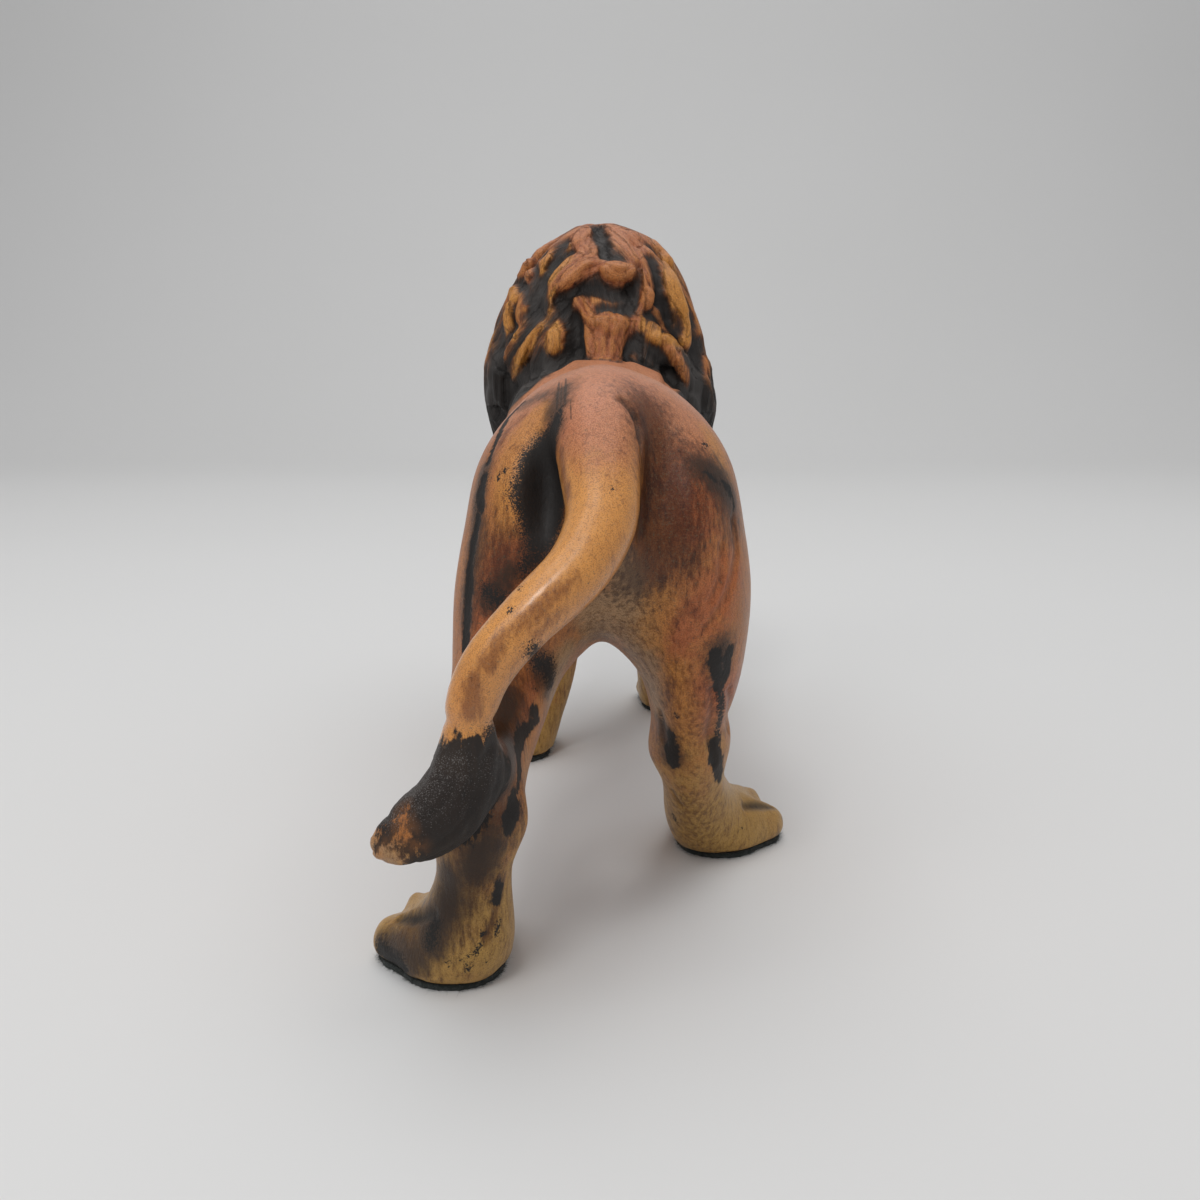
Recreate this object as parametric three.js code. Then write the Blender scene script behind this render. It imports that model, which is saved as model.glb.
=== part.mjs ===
// A walking lion in painted bisque, cast in one piece, with four felt pads glued under its paws.
// The lion looks along -Y, its left side is +X, and it stands on Z = 0. All sizes are in millimetres.
// The figure is modelled like clay: eggs and tapering limbs are blended together, grooves are cut,
// and the surface of the clay is then taken off as triangles and thinned to a fixed number.

import * as THREE from "three";

// Driving dimensions.
const MANE_TOP = 160; // floor to the top of the mane
const RUMP_TOP = 116; // floor to the top of the rump
const HIP = 88; // heights of the leg joints
const KNEE = 57;
const HOCK = 33;
const ANKLE = 12;
const FELT_THICKNESS = 1.3;
const FELT_MARGIN = 0.9; // how far the felt stays inside the paw's sole
const HIP_Y = 62; // places along the body, from rump to nose
const WITHERS_Y = -38;
const MANE_Y = -72;
const NOSE_Y = -124;
const HALF_STANCE = 24; // from the middle plane to a leg's centre line
const SWAY = -1; // the haunches swing this far to the right as the left hind leg trails

// How fine the clay is, and how many triangles the lion keeps.
const GRID = 1.4;
const LION_TRIANGLES = 9450;

const SIDES = [1, -1]; // +1 is the lion's left
const point = (x, y, z) => new THREE.Vector3(x, y, z);
const mix = THREE.MathUtils.lerp;

// Repeatable scatter between -1 and 1 for the number n.
function scatter(n) {
  const s = Math.sin(n * 127.1 + 11.7) * 43758.5453;
  return 2 * (s - Math.floor(s)) - 1;
}

// Shapes: each has a box that holds it and a distance, negative inside.

function egg(centre, radii, turn = new THREE.Euler()) {
  const back = new THREE.Quaternion().setFromEuler(turn).invert();
  const reach = Math.max(radii.x, radii.y, radii.z);
  const least = Math.min(radii.x, radii.y, radii.z);
  const local = new THREE.Vector3();
  return {
    box: new THREE.Box3().setFromCenterAndSize(centre, point(1, 1, 1).multiplyScalar(2 * reach)),
    distance(p) {
      local.copy(p).sub(centre).applyQuaternion(back).divide(radii);
      return (local.length() - 1) * least;
    },
  };
}

// A limb follows a smooth line through stations [x, y, z, half width, half depth]. The width is
// measured along `sideways`, the depth square to it.
function limb(stations, sideways = point(1, 0, 0), steps = 5) {
  const places = new THREE.CatmullRomCurve3(stations.map(([x, y, z]) => point(x, y, z)), false, "catmullrom");
  const sizes = new THREE.CatmullRomCurve3(stations.map(([, , , a, b]) => point(a, b, 0)), false, "catmullrom");
  const count = (stations.length - 1) * steps;
  const rings = Array.from({ length: count + 1 }, (_, i) => {
    const along = places.getTangent(i / count);
    const across = sideways.clone().addScaledVector(along, -sideways.dot(along)).normalize();
    const size = sizes.getPoint(i / count);
    return { at: places.getPoint(i / count), along, across, up: along.clone().cross(across), a: size.x, b: size.y };
  });
  const box = new THREE.Box3();
  for (const { at, a, b } of rings)
    box.union(new THREE.Box3().setFromCenterAndSize(at, point(1, 1, 1).multiplyScalar(2 * Math.max(a, b))));
  const offset = new THREE.Vector3();
  const chord = new THREE.Vector3();
  return {
    box,
    distance(p) {
      let nearest = Infinity;
      for (let i = 0; i < count; i++) {
        const from = rings[i];
        const to = rings[i + 1];
        chord.subVectors(to.at, from.at);
        offset.subVectors(p, from.at);
        const t = THREE.MathUtils.clamp(offset.dot(chord) / chord.lengthSq(), 0, 1);
        offset.addScaledVector(chord, -t);
        const a = mix(from.a, to.a, t);
        const b = mix(from.b, to.b, t);
        const u = mix(offset.dot(from.across), offset.dot(to.across), t) / a;
        const v = mix(offset.dot(from.up), offset.dot(to.up), t) / b;
        const w = (2 * mix(offset.dot(from.along), offset.dot(to.along), t)) / (a + b);
        nearest = Math.min(nearest, (Math.hypot(u, v, w) - 1) * Math.min(a, b));
      }
      return nearest;
    },
  };
}

// Clay is kept as distances on a grid of points. A blend is the width over which two shapes melt together.
class Clay {
  constructor(low, high, step) {
    this.low = low;
    this.step = step;
    this.size = high.clone().sub(low).divideScalar(step).ceil().addScalar(1);
    this.value = new Float32Array(this.size.x * this.size.y * this.size.z).fill(50);
  }

  change(shape, blend, rule) {
    const reach = blend + 2 * this.step;
    const box = shape.box.clone().expandByScalar(reach);
    const first = box.min.sub(this.low).divideScalar(this.step).floor().max(point(0, 0, 0));
    const last = box.max.sub(this.low).divideScalar(this.step).ceil().min(this.size.clone().subScalar(1));
    const p = new THREE.Vector3();
    for (let k = first.z; k <= last.z; k++)
      for (let j = first.y; j <= last.y; j++)
        for (let i = first.x; i <= last.x; i++) {
          p.set(i, j, k).multiplyScalar(this.step).add(this.low);
          const at = (k * this.size.y + j) * this.size.x + i;
          this.value[at] = rule(this.value[at], shape.distance(p), blend);
        }
  }

  add(shape, blend = 3) {
    this.change(shape, blend, smoothLeast);
  }

  cut(shape, blend = 1.5) {
    this.change(shape, blend, (old, distance, width) => -smoothLeast(-old, distance, width));
  }

  // Marks all grid points that join up with the point `start` and lie on the same side of the surface.
  reached(start) {
    const seen = new Uint8Array(this.value.length);
    const inside = this.value[start] < 0;
    const strides = [1, this.size.x, this.size.x * this.size.y];
    const waiting = [start];
    seen[start] = 1;
    while (waiting.length) {
      const at = waiting.pop();
      for (const stride of strides)
        for (const next of [at - stride, at + stride]) {
          if (next < 0 || next >= seen.length || seen[next] || this.value[next] < 0 !== inside) continue;
          seen[next] = 1;
          waiting.push(next);
        }
    }
    return seen;
  }

  // Loose crumbs are taken away and closed pockets filled, so that one skin is left.
  clean(heart) {
    const cell = heart.clone().sub(this.low).divideScalar(this.step).round();
    const body = this.reached((cell.z * this.size.y + cell.y) * this.size.x + cell.x);
    this.value.forEach((v, at) => (this.value[at] = v < 0 && !body[at] ? this.step / 2 : v));
    const open = this.reached(0);
    this.value.forEach((v, at) => (this.value[at] = v >= 0 && !open[at] ? -this.step / 2 : v));
  }

  // Wipes the clay with a wet finger: every value moves half way to the mean of its neighbours.
  soften() {
    const old = this.value.slice();
    const strides = [1, this.size.x, this.size.x * this.size.y];
    for (let at = strides[2]; at < old.length - strides[2]; at++) {
      const sum = strides.reduce((total, stride) => total + old[at - stride] + old[at + stride], 0);
      this.value[at] = 0.5 * old[at] + sum / 12;
    }
  }

  // Everything below height z is sliced off flat.
  level(z) {
    const layer = this.size.x * this.size.y;
    this.value.forEach((v, at) => {
      const height = this.low.z + Math.floor(at / layer) * this.step;
      this.value[at] = Math.max(v, z - height);
    });
  }
}

function smoothLeast(a, b, width) {
  const near = Math.max(width - Math.abs(a - b), 0) / width;
  return Math.min(a, b) - (near * near * width) / 4;
}

// The surface of the clay, by splitting every grid cell into six tetrahedra.
function skinOf(clay) {
  const { size, value, step, low } = clay;
  const strideOf = [1, size.x, size.x * size.y];
  const ORDERS = [
    [0, 1, 2], [1, 2, 0], [2, 0, 1], // even orders of the three axes
    [1, 0, 2], [2, 1, 0], [0, 2, 1], // odd ones, which mirror the tetrahedron
  ];
  const EVEN = { 1: [0, 1, 2, 3], 2: [1, 0, 3, 2], 4: [2, 3, 0, 1], 8: [3, 2, 1, 0] };
  const PAIRS = { 3: [0, 1, 2, 3], 5: [0, 2, 3, 1], 9: [0, 3, 1, 2], 12: [2, 3, 0, 1], 10: [1, 3, 2, 0], 6: [1, 2, 0, 3] };
  const tetrahedra = ORDERS.map((order, n) => {
    const path = [0, strideOf[order[0]], strideOf[order[0]] + strideOf[order[1]], strideOf[0] + strideOf[1] + strideOf[2]];
    return n < 3 ? path : [path[0], path[2], path[1], path[3]];
  });
  const positions = [];
  const triangles = [];
  const made = new Map();
  const coordinates = (at) => [at % size.x, Math.floor(at / size.x) % size.y, Math.floor(at / strideOf[2])];
  const inside = (at) => value[at] < 0;

  // The point where the surface crosses the grid line from p to q.
  function crossing(p, q) {
    const key = Math.min(p, q) * value.length + Math.max(p, q);
    if (!made.has(key)) {
      const t = value[p] / (value[p] - value[q]);
      const [a, b] = [coordinates(p), coordinates(q)];
      made.set(key, positions.length / 3);
      for (const [n, origin] of [low.x, low.y, low.z].entries()) positions.push(origin + step * mix(a[n], b[n], t));
    }
    return made.get(key);
  }

  for (let k = 0; k < size.z - 1; k++)
    for (let j = 0; j < size.y - 1; j++)
      for (let i = 0; i < size.x - 1; i++) {
        const cell = i + j * strideOf[1] + k * strideOf[2];
        for (const tetrahedron of tetrahedra) {
          const c = tetrahedron.map((stride) => cell + stride);
          const mask = c.reduce((sum, at, n) => sum + (inside(at) ? 1 << n : 0), 0);
          if (mask === 0 || mask === 15) continue;
          if (PAIRS[mask]) {
            const [p, q, r, s] = PAIRS[mask].map((n) => c[n]);
            const quad = [crossing(p, r), crossing(p, s), crossing(q, s), crossing(q, r)];
            triangles.push(quad[0], quad[1], quad[2], quad[0], quad[2], quad[3]);
            continue;
          }
          const single = EVEN[mask] ? mask : 15 - mask;
          const [p, ...others] = EVEN[single].map((n) => c[n]);
          const corners = others.map((q) => crossing(p, q));
          triangles.push(...(EVEN[mask] ? corners : corners.reverse()));
        }
      }
  return { positions, triangles };
}

// A list that always gives back its entry of least cost.
class Queue {
  entries = [];

  push(entry) {
    const list = this.entries;
    let at = list.push(entry) - 1;
    while (at > 0) {
      const parent = (at - 1) >> 1;
      if (list[parent].cost <= list[at].cost) break;
      [list[parent], list[at]] = [list[at], list[parent]];
      at = parent;
    }
  }

  pop() {
    const list = this.entries;
    const least = list[0];
    const last = list.pop();
    if (!list.length) return least;
    list[0] = last;
    for (let at = 0; ; ) {
      let child = 2 * at + 1;
      if (child >= list.length) break;
      if (child + 1 < list.length && list[child + 1].cost < list[child].cost) child++;
      if (list[at].cost <= list[child].cost) break;
      [list[child], list[at]] = [list[at], list[child]];
      at = child;
    }
    return least;
  }
}

// Ten sums that give the squared distance from a point to all the planes round a vertex.
function planeSums(normal, distance, weight) {
  const plane = [normal.x, normal.y, normal.z, distance];
  return plane.flatMap((a, i) => plane.slice(i).map((b) => weight * a * b));
}

function squaredDistance(q, { x, y, z }) {
  const square = q[0] * x * x + q[4] * y * y + q[7] * z * z + q[9];
  return square + 2 * (q[1] * x * y + q[2] * x * z + q[3] * x + q[5] * y * z + q[6] * y + q[8] * z);
}

// Merges the pairs of neighbours that change the surface least, until `count` triangles are left.
function thinned({ positions, triangles }, count) {
  const EVENNESS = 5e-4; // how much a short edge is preferred where the surface is flat
  const LEAST_TURN = 0.25; // cosine between a triangle's normals before and after
  const places = Array.from({ length: positions.length / 3 }, (_, i) => point(...positions.slice(3 * i, 3 * i + 3)));
  const faces = Array.from({ length: triangles.length / 3 }, (_, i) => triangles.slice(3 * i, 3 * i + 3));
  const sums = places.map(() => new Float64Array(10));
  const facesAt = places.map(() => new Set());
  const version = new Uint32Array(places.length);
  const [u, v, normal] = [new THREE.Vector3(), new THREE.Vector3(), new THREE.Vector3()];
  const normalOf = (a, b, c) => normal.crossVectors(u.subVectors(b, a), v.subVectors(c, a));

  faces.forEach((face, f) => {
    const weight = normalOf(...face.map((i) => places[i])).length() / 2;
    normal.normalize();
    const plane = planeSums(normal, -normal.dot(places[face[0]]), weight);
    for (const i of face) {
      facesAt[i].add(f);
      plane.forEach((value, n) => (sums[i][n] += value));
    }
  });

  const neighbours = (i) => new Set([...facesAt[i]].flatMap((f) => faces[f]).filter((j) => j !== i));
  const queue = new Queue();
  const system = new THREE.Matrix3();

  function propose(a, b) {
    const q = sums[a].map((value, n) => value + sums[b][n]);
    system.set(q[0], q[1], q[2], q[1], q[4], q[5], q[2], q[5], q[7]);
    const length = places[a].distanceTo(places[b]);
    let place = places[a].clone().lerp(places[b], 0.5);
    if (Math.abs(system.determinant()) > 1e-4) {
      const best = point(-q[3], -q[6], -q[8]).applyMatrix3(system.invert());
      if (best.distanceTo(place) < 1.5 * length) place = best;
    }
    const cost = squaredDistance(q, place) + EVENNESS * length * length;
    queue.push({ cost, a, b, place, versions: version[a] + version[b] });
  }

  function folds(i, other, place) {
    return [...facesAt[i]].some((f) => {
      if (faces[f].includes(other)) return false;
      const before = normalOf(...faces[f].map((j) => places[j])).clone();
      const after = normalOf(...faces[f].map((j) => (j === i ? place : places[j])));
      return before.dot(after) < LEAST_TURN * before.length() * after.length() || after.length() < 1e-6;
    });
  }

  for (const [a, b, c] of faces) for (const [i, j] of [[a, b], [b, c], [c, a]]) if (i < j) propose(i, j);
  let left = faces.length;
  while (left > count) {
    const { a, b, place, versions } = queue.pop();
    if (!facesAt[a].size || !facesAt[b].size || versions !== version[a] + version[b]) continue;
    const around = neighbours(b);
    const shared = [...neighbours(a)].filter((i) => around.has(i));
    if (shared.length !== 2 || folds(a, b, place) || folds(b, a, place)) continue;
    places[a].copy(place);
    for (const f of facesAt[b]) {
      if (faces[f].includes(a)) {
        for (const i of faces[f]) if (i !== b) facesAt[i].delete(f);
        left--;
      } else {
        faces[f][faces[f].indexOf(b)] = a;
        facesAt[a].add(f);
      }
    }
    facesAt[b].clear();
    sums[b].forEach((value, n) => (sums[a][n] += value));
    version[a]++;
    for (const i of neighbours(a)) propose(a, i);
  }
  const kept = [...new Set(facesAt.flatMap((set) => [...set]))].map((f) => faces[f]);
  return { places, faces: kept };
}

// The trunk: one long form from the rump, over the loin and ribs, to the chest under the mane.
function addTrunk(clay) {
  const loinTop = RUMP_TOP - 5;
  clay.add(limb([
    [SWAY, HIP_Y + 14, HIP + 2, 15, 20],
    [SWAY, HIP_Y, RUMP_TOP - 27, 21, 27],
    [0.8 * SWAY, HIP_Y - 18, RUMP_TOP - 28, 22, 26],
    [0.4 * SWAY, 22, loinTop - 25, 22, 24],
    [0, 0, loinTop - 26, 25, 26],
    [0, -22, loinTop - 28, 27, 29],
    [0, -48, loinTop - 26, 26, 32],
    [0, -72, loinTop - 26, 21, 30],
  ]));
  clay.add(limb([ // the raised line of the spine
    [0, HIP_Y + 6, RUMP_TOP - 7, 7, 5],
    [0, 20, loinTop - 3, 6, 4],
    [0, WITHERS_Y, loinTop + 1, 7, 5],
  ]), 8);
  for (const side of SIDES) {
    clay.add(egg(point(side * 17, WITHERS_Y - 4, HIP - 2), point(12, 21, 27)), 8); // shoulder
    clay.add(egg(point(SWAY + side * 11.5, HIP_Y - 4, HIP + 1), point(15, 21, 20)), 8); // haunch
    clay.add(egg(point(0.6 * SWAY + side * 9, HIP_Y - 2, 68), point(8.5, 17, 14)), 6); // inside of the thigh
  }
}

// One hind leg. `reach` is how far the paw stands behind the hip (forward when negative), and
// `bow` how far the hock stands out.
function addHindLeg(clay, side, { reach, bow }) {
  const hockY = HIP_Y + 0.9 * reach + 11;
  const ankleY = HIP_Y + 1.2 * reach;
  clay.add(limb([
    [SWAY + side * 14, HIP_Y + 3, HIP, 14, 21],
    [SWAY + side * 18, mix(HIP_Y, hockY, 0.12), 71, 13.5, 21],
    [0.5 * SWAY + side * (20.2 + 0.3 * bow), mix(HIP_Y, hockY, 0.3), KNEE - 3, 11, 16],
    [side * (21.4 + 0.8 * bow), mix(HIP_Y, hockY, 0.72), 43, 8.6, 10.8],
    [side * (22.5 + bow), hockY, HOCK, 8, 8.6],
    [side * (23.4 + 0.8 * bow), mix(hockY, ankleY, 0.4), 22, 7.2, 7.5],
    [side * (25 + 0.4 * bow), ankleY, ANKLE, 9, 9.4],
  ]), 5);
  const kneeY = mix(HIP_Y, hockY, 0.1) - 19;
  clay.add(limb([ // the front of the thigh, from the flank down to the knee
    [SWAY + side * 20, kneeY + 4, HIP - 4, 8, 9],
    [SWAY + side * 23.2, kneeY + 3, KNEE + 14, 8.4, 10],
    [side * (23.2 + 0.5 * bow), kneeY + 6, KNEE, 6.8, 9],
    [side * (23 + bow), mix(kneeY, hockY, 0.5), KNEE - 12, 6, 7],
  ]), 5);
  clay.add(limb([ // the cord of the heel
    [side * (20 + 0.4 * bow), mix(HIP_Y, hockY, 0.35) + 12, KNEE, 4.5, 4],
    [side * (22 + bow), hockY + 1, 43, 3.4, 3],
    [side * (22.5 + bow), hockY + 4, HOCK + 1, 4.2, 3.4],
  ]), 4);
  for (const [out, z] of [[-6.6, HOCK], [5.8, HOCK + 2]]) {
    clay.add(egg(point(side * (22.5 + bow + out), hockY - 1, z), point(3.4, 4.6, 5.6)), 2.5); // knobs of the hock
  }
}

// The grooves that part the muscles on the outside of a thigh.
function carveThigh(clay, side, reach) {
  const groove = (stations) => clay.cut(limb(stations.map(([x, y, z, r]) => [SWAY + side * x, y, z, r, r])), 3);
  const rearY = HIP_Y + 0.12 * reach;
  groove([
    [24, HIP_Y + 12, 104, 0.6],
    [31, HIP_Y + 8, 92, 2],
    [35, rearY + 6, 78, 2.2],
    [34.5, rearY + 5, 64, 2],
    [31.5, rearY + 10, 52, 0.8],
  ]);
  groove([
    [30, HIP_Y - 12, 98, 0.8],
    [33.5, HIP_Y - 16, 84, 2],
    [32.5, rearY - 17, 70, 0.8],
  ]);
}

// One foreleg, from the shoulder to the ankle. `reach` is how far the paw stands behind the
// shoulder, and `bow` how far the forearm stands out.
function addForeleg(clay, side, { reach, bow }, pawX) {
  const shoulderY = WITHERS_Y - 14;
  const pawY = shoulderY + reach;
  const elbowY = mix(shoulderY, pawY, 0.3) + 6;
  clay.add(limb([
    [side * 15, shoulderY, HIP, 12, 19],
    [side * 16.5, mix(shoulderY, elbowY, 0.6), 69, 11, 15],
    [side * 16.5, elbowY, 54, 9.5, 11.5],
    [side * (mix(16, pawX, 0.2) + bow), mix(elbowY, pawY, 0.4), 38, 9, 9],
    [side * (mix(16, pawX, 0.4) + bow), mix(elbowY, pawY, 0.8), 23, 8.2, 8],
    [side * (mix(16, pawX, 0.7) + 0.5 * bow), pawY - 1, ANKLE, 8.4, 9],
  ]), 5);
  clay.add(egg(point(side * 16.5, elbowY + 8, 58), point(5, 5, 7)), 5); // point of the elbow
}

// A paw: four toes side by side in front of a round heel, turned outwards by `turn` radians.
// Its shapes are handed back, because the felt is cut to their outline.
const PAW_LENGTH = 28;
const TOE_PITCH = 6.3; // from one toe's middle to the next
const TOE = point(4.9, 7.4, 5.8); // half sizes
function addPaw(clay, { side, heelX, heelY, turn }) {
  const about = new THREE.Matrix4().makeRotationZ(side * turn).setPosition(side * heelX, heelY, 0);
  const place = (x, y, z) => point(side * x, y, z).applyMatrix4(about);
  const shapes = [egg(place(0, -8.5, 5), point(12.2, 13, 10.5), new THREE.Euler(0, 0, side * turn))];
  for (const [n, back, z] of [[-1.5, 4, 4], [-0.5, 0.4, 5.6], [0.5, 0.4, 5.6], [1.5, 5, 3.6]]) {
    const fan = new THREE.Euler(0, 0, side * (turn + n * 0.12));
    shapes.push(egg(place(n * TOE_PITCH, back + 9 - PAW_LENGTH, z), TOE, fan));
  }
  shapes.forEach((shape, n) => clay.add(shape, n ? 1.2 : 4));
  for (const n of [-1, 0, 1]) { // the creases between the toes
    const [x, across] = [n * TOE_PITCH, Math.abs(n)];
    clay.cut(limb([
      [...place(x * 0.9, -10, 15), 0.8, 1.2],
      [...place(x, -15 + across, 12.5 - 0.7 * across), 1.5, 2],
      [...place(x * 1.06, -22 + across, 10.5 - 1.4 * across), 1.6, 2],
      [...place(x * 1.1, -29 + across, 5), 1.5, 2],
    ], point(Math.cos(turn), side * Math.sin(turn), 0)), 1.5);
  }
  return { middle: place(0, -11, 0), shapes };
}

// The tail hangs clear of the rump, swings over to the left leg and ends in a tuft that is
// stuck to the back of the hock.
function addTail(clay) {
  clay.cut(egg(point(11, 92, 95), point(5.5, 11, 15), new THREE.Euler(0.4, 0, -0.1)), 3); // the hollows
  clay.cut(egg(point(-12, 92, 92), point(4.5, 8, 15), new THREE.Euler(0.4, 0, 0.1)), 6); // beside its root
  clay.add(limb([
    [0, HIP_Y + 2, 108, 8.5, 8.5],
    [0.5, HIP_Y + 16, 106, 8.2, 7.8],
    [0.2, HIP_Y + 27, 98.5, 7.7, 7.2],
    [-0.3, 97, 89.5, 6.8, 6.6],
    [4, 104, 81.5, 6, 6],
    [12, 109.5, 74.5, 5.4, 5.4],
    [19, 112.5, 67, 5.1, 5.1],
    [22.4, 113.5, 60, 4.8, 4.8],
    [23.2, 113.5, 52, 4.4, 4.4],
  ]), 3);
  clay.add(limb([
    [23, 113, 53, 4.4, 4.4],
    [24.2, 113.5, 46, 6.4, 6.6],
    [27.7, 114.5, 40.3, 7, 7],
    [33.2, 116, 36.6, 5.8, 5.6],
    [37.3, 117, 35, 3.6, 3.4],
  ]), 1.5);
  clay.add(limb([[22, 110, 47, 6, 6.5], [21.5, 101, 44, 6, 7], [21.5, 94, 42, 6, 7]]), 3); // the join to the leg
}

// The face.
const HEAD_Z = 133;
function addHead(clay) {
  clay.add(egg(point(0, -91, HEAD_Z + 4), point(20, 18, 19)));
  clay.add(egg(point(0, -110, HEAD_Z - 7.5), point(11, 12, 9.5)), 6); // muzzle
  clay.add(limb([ // bridge of the nose
    [0, -105, HEAD_Z + 10, 7.5, 5],
    [0, -112, HEAD_Z + 4, 6.4, 5],
    [0, -119.5, HEAD_Z - 1.5, 6, 4.4],
  ]), 3);
  clay.add(egg(point(0, NOSE_Y + 2, HEAD_Z - 2), point(6.2, 3, 3.8)), 1); // nose
  clay.add(egg(point(0, -113, HEAD_Z - 17.5), point(8, 7.5, 5.4)), 2); // chin
  for (const side of SIDES) {
    clay.add(egg(point(side * 9, -105, HEAD_Z + 11.5), point(8, 5, 4), new THREE.Euler(0, side * 0.3, side * 0.3)), 3); // brow
    clay.add(egg(point(side * 14.5, -98, HEAD_Z - 4.5), point(8.5, 9.5, 11)), 4); // cheek
    clay.add(egg(point(side * 5.8, -116, HEAD_Z - 9.5), point(7, 7.6, 6.2)), 2); // whisker pad
    clay.cut(egg(point(side * 10, -109.5, HEAD_Z + 5), point(5, 4.6, 3.4), new THREE.Euler(0, side * 0.25, 0)), 1.5); // eye socket
    clay.add(egg(point(side * 9.8, -106.2, HEAD_Z + 5), point(3.8, 3.2, 3)), 0.5); // eye
    clay.cut(limb([ // the line from the nose round the whisker pad, which is the mouth
      [0, -124.5, HEAD_Z - 6, 1, 1],
      [0, -123.5, HEAD_Z - 12.5, 1.2, 1.2],
      [side * 6, -121.5, HEAD_Z - 15.6, 1.2, 1.2],
      [side * 11.5, -113, HEAD_Z - 14, 1.2, 1.2],
    ]), 1);
    clay.cut(egg(point(side * 3.4, NOSE_Y, HEAD_Z - 3.2), point(1.3, 2, 1.1)), 0.5); // nostril
  }
}

// The mane as a mass, from the crown to the chest. It hangs a little askew:
// [height, middle y, half width, half depth, middle x].
const MANE_RINGS = [
  [MANE_TOP - 2.5, MANE_Y - 6, 5, 5, 0],
  [MANE_TOP - 6, MANE_Y - 5, 13.5, 13, 0],
  [MANE_TOP - 13, MANE_Y - 4, 20.5, 19.5, 0.3],
  [MANE_TOP - 24, MANE_Y - 2, 25, 24, 0.8],
  [MANE_TOP - 37, MANE_Y + 1, 30, 27, 1.2],
  [MANE_TOP - 50, MANE_Y + 3, 33, 28, 0.2],
  [MANE_TOP - 66, MANE_Y + 1, 31, 26, -1.4],
  [MANE_TOP - 82, MANE_Y - 4, 24, 22, -1.6],
  [MANE_TOP - 98, MANE_Y - 8, 15, 15, -1],
  [MANE_TOP - 106, MANE_Y - 9, 6, 6, -0.5],
];

// A place on the mane, `out` above its mass. The azimuth is 0 at the back and grows to the left.
function manePoint(height, azimuth, out = 0) {
  const last = MANE_RINGS.length - 1;
  const below = THREE.MathUtils.clamp(MANE_RINGS.findIndex(([z]) => z < height), 1, last);
  const [from, to] = [MANE_RINGS[below - 1], MANE_RINGS[below]];
  const t = THREE.MathUtils.clamp((from[0] - height) / (from[0] - to[0]), 0, 1);
  const [y, width, depth, x] = [1, 2, 3, 4].map((n) => mix(from[n], to[n], t));
  return point(x + (width + out) * Math.sin(azimuth), y + (depth + out) * Math.cos(azimuth), height);
}

// One lock of hair along a path of [height, azimuth] places, thick in the middle and pointed at the
// tip. A furrow wider than the lock can be cut for it first, so that it stands out.
function addLock(clay, path, halfWidth, lift, furrow = 0) {
  const last = path.length - 1;
  const stations = path.map(([height, azimuth], n) => {
    const t = n / last;
    const swell = Math.sin(Math.PI * mix(0.25, 0.96, t));
    const at = manePoint(height, azimuth, mix(-1.5, lift, Math.min(1, 1.5 * t)));
    return [at.x, at.y, at.z, halfWidth * swell + 0.3, 0.6 * halfWidth * swell + 0.7];
  });
  const middle = path[Math.floor(last / 2)][1];
  const across = point(Math.cos(middle), -Math.sin(middle), 0);
  const wider = stations.slice(1).map(([x, y, z, a, b]) => [x, y, z, a + furrow, b + 0.5 * furrow]);
  if (furrow) clay.cut(limb(wider, across, 3), 1);
  clay.add(limb(stations, across, 3), 0.5);
}

// Locks in rows, each row hanging over the one below. The face is left free, and the back of the
// head is left to its own big locks.
const NAPE = 112; // height below which the rows run all round the back
function addMane(clay) {
  clay.add(egg(point(0, MANE_Y - 4, MANE_TOP - 30), point(25.5, 25, 28)), 2);
  clay.add(limb(MANE_RINGS.slice(4, 8).map(([z, y, a, b, x]) => [x, y, z, a, b])), 4);
  clay.add(limb([ // the mane's point on the withers
    [0, MANE_Y + 14, MANE_TOP - 44, 20, 16],
    [0, WITHERS_Y - 6, RUMP_TOP - 5, 13, 9],
    [0, WITHERS_Y + 6, RUMP_TOP - 5, 5, 4],
  ]), 5);
  clay.add(limb([ // the bib under the chin
    [0, -99, MANE_TOP - 46, 13, 9],
    [0, -98.5, MANE_TOP - 60, 16, 10.5],
    [0, -92, MANE_TOP - 76, 14, 10],
  ]), 6);
  const rows = [147, 135, 122, 109, 96, 84, 74];
  rows.forEach((height, row) => {
    const count = Math.round((2 * Math.PI * manePoint(height, Math.PI / 2).x) / 10.2);
    for (let n = 0; n < count; n++) {
      const shift = scatter(row * 40 + n);
      const azimuth = ((n + 0.5 * (row % 2) + 0.25 * shift) / count - 0.5) * 2 * Math.PI;
      const face = Math.abs(azimuth) > 1.95 && height > 100;
      const back = Math.abs(azimuth) < 1.15 && height > NAPE;
      if (face || back) continue;
      const sway = 0.14 * scatter(row * 40 + n + 900);
      const drift = 0.25 * Math.sin(azimuth) + 0.14 * shift;
      const length = 27 + 5 * scatter(row * 40 + n + 500);
      const steps = [0, 0.25, 0.5, 0.75, 1];
      const path = steps.map((t) => [height + 9 - t * length, azimuth + drift * t + sway * Math.sin(6 * t)]);
      addLock(clay, path, 5.2, 1.6);
    }
  });
}

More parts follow.
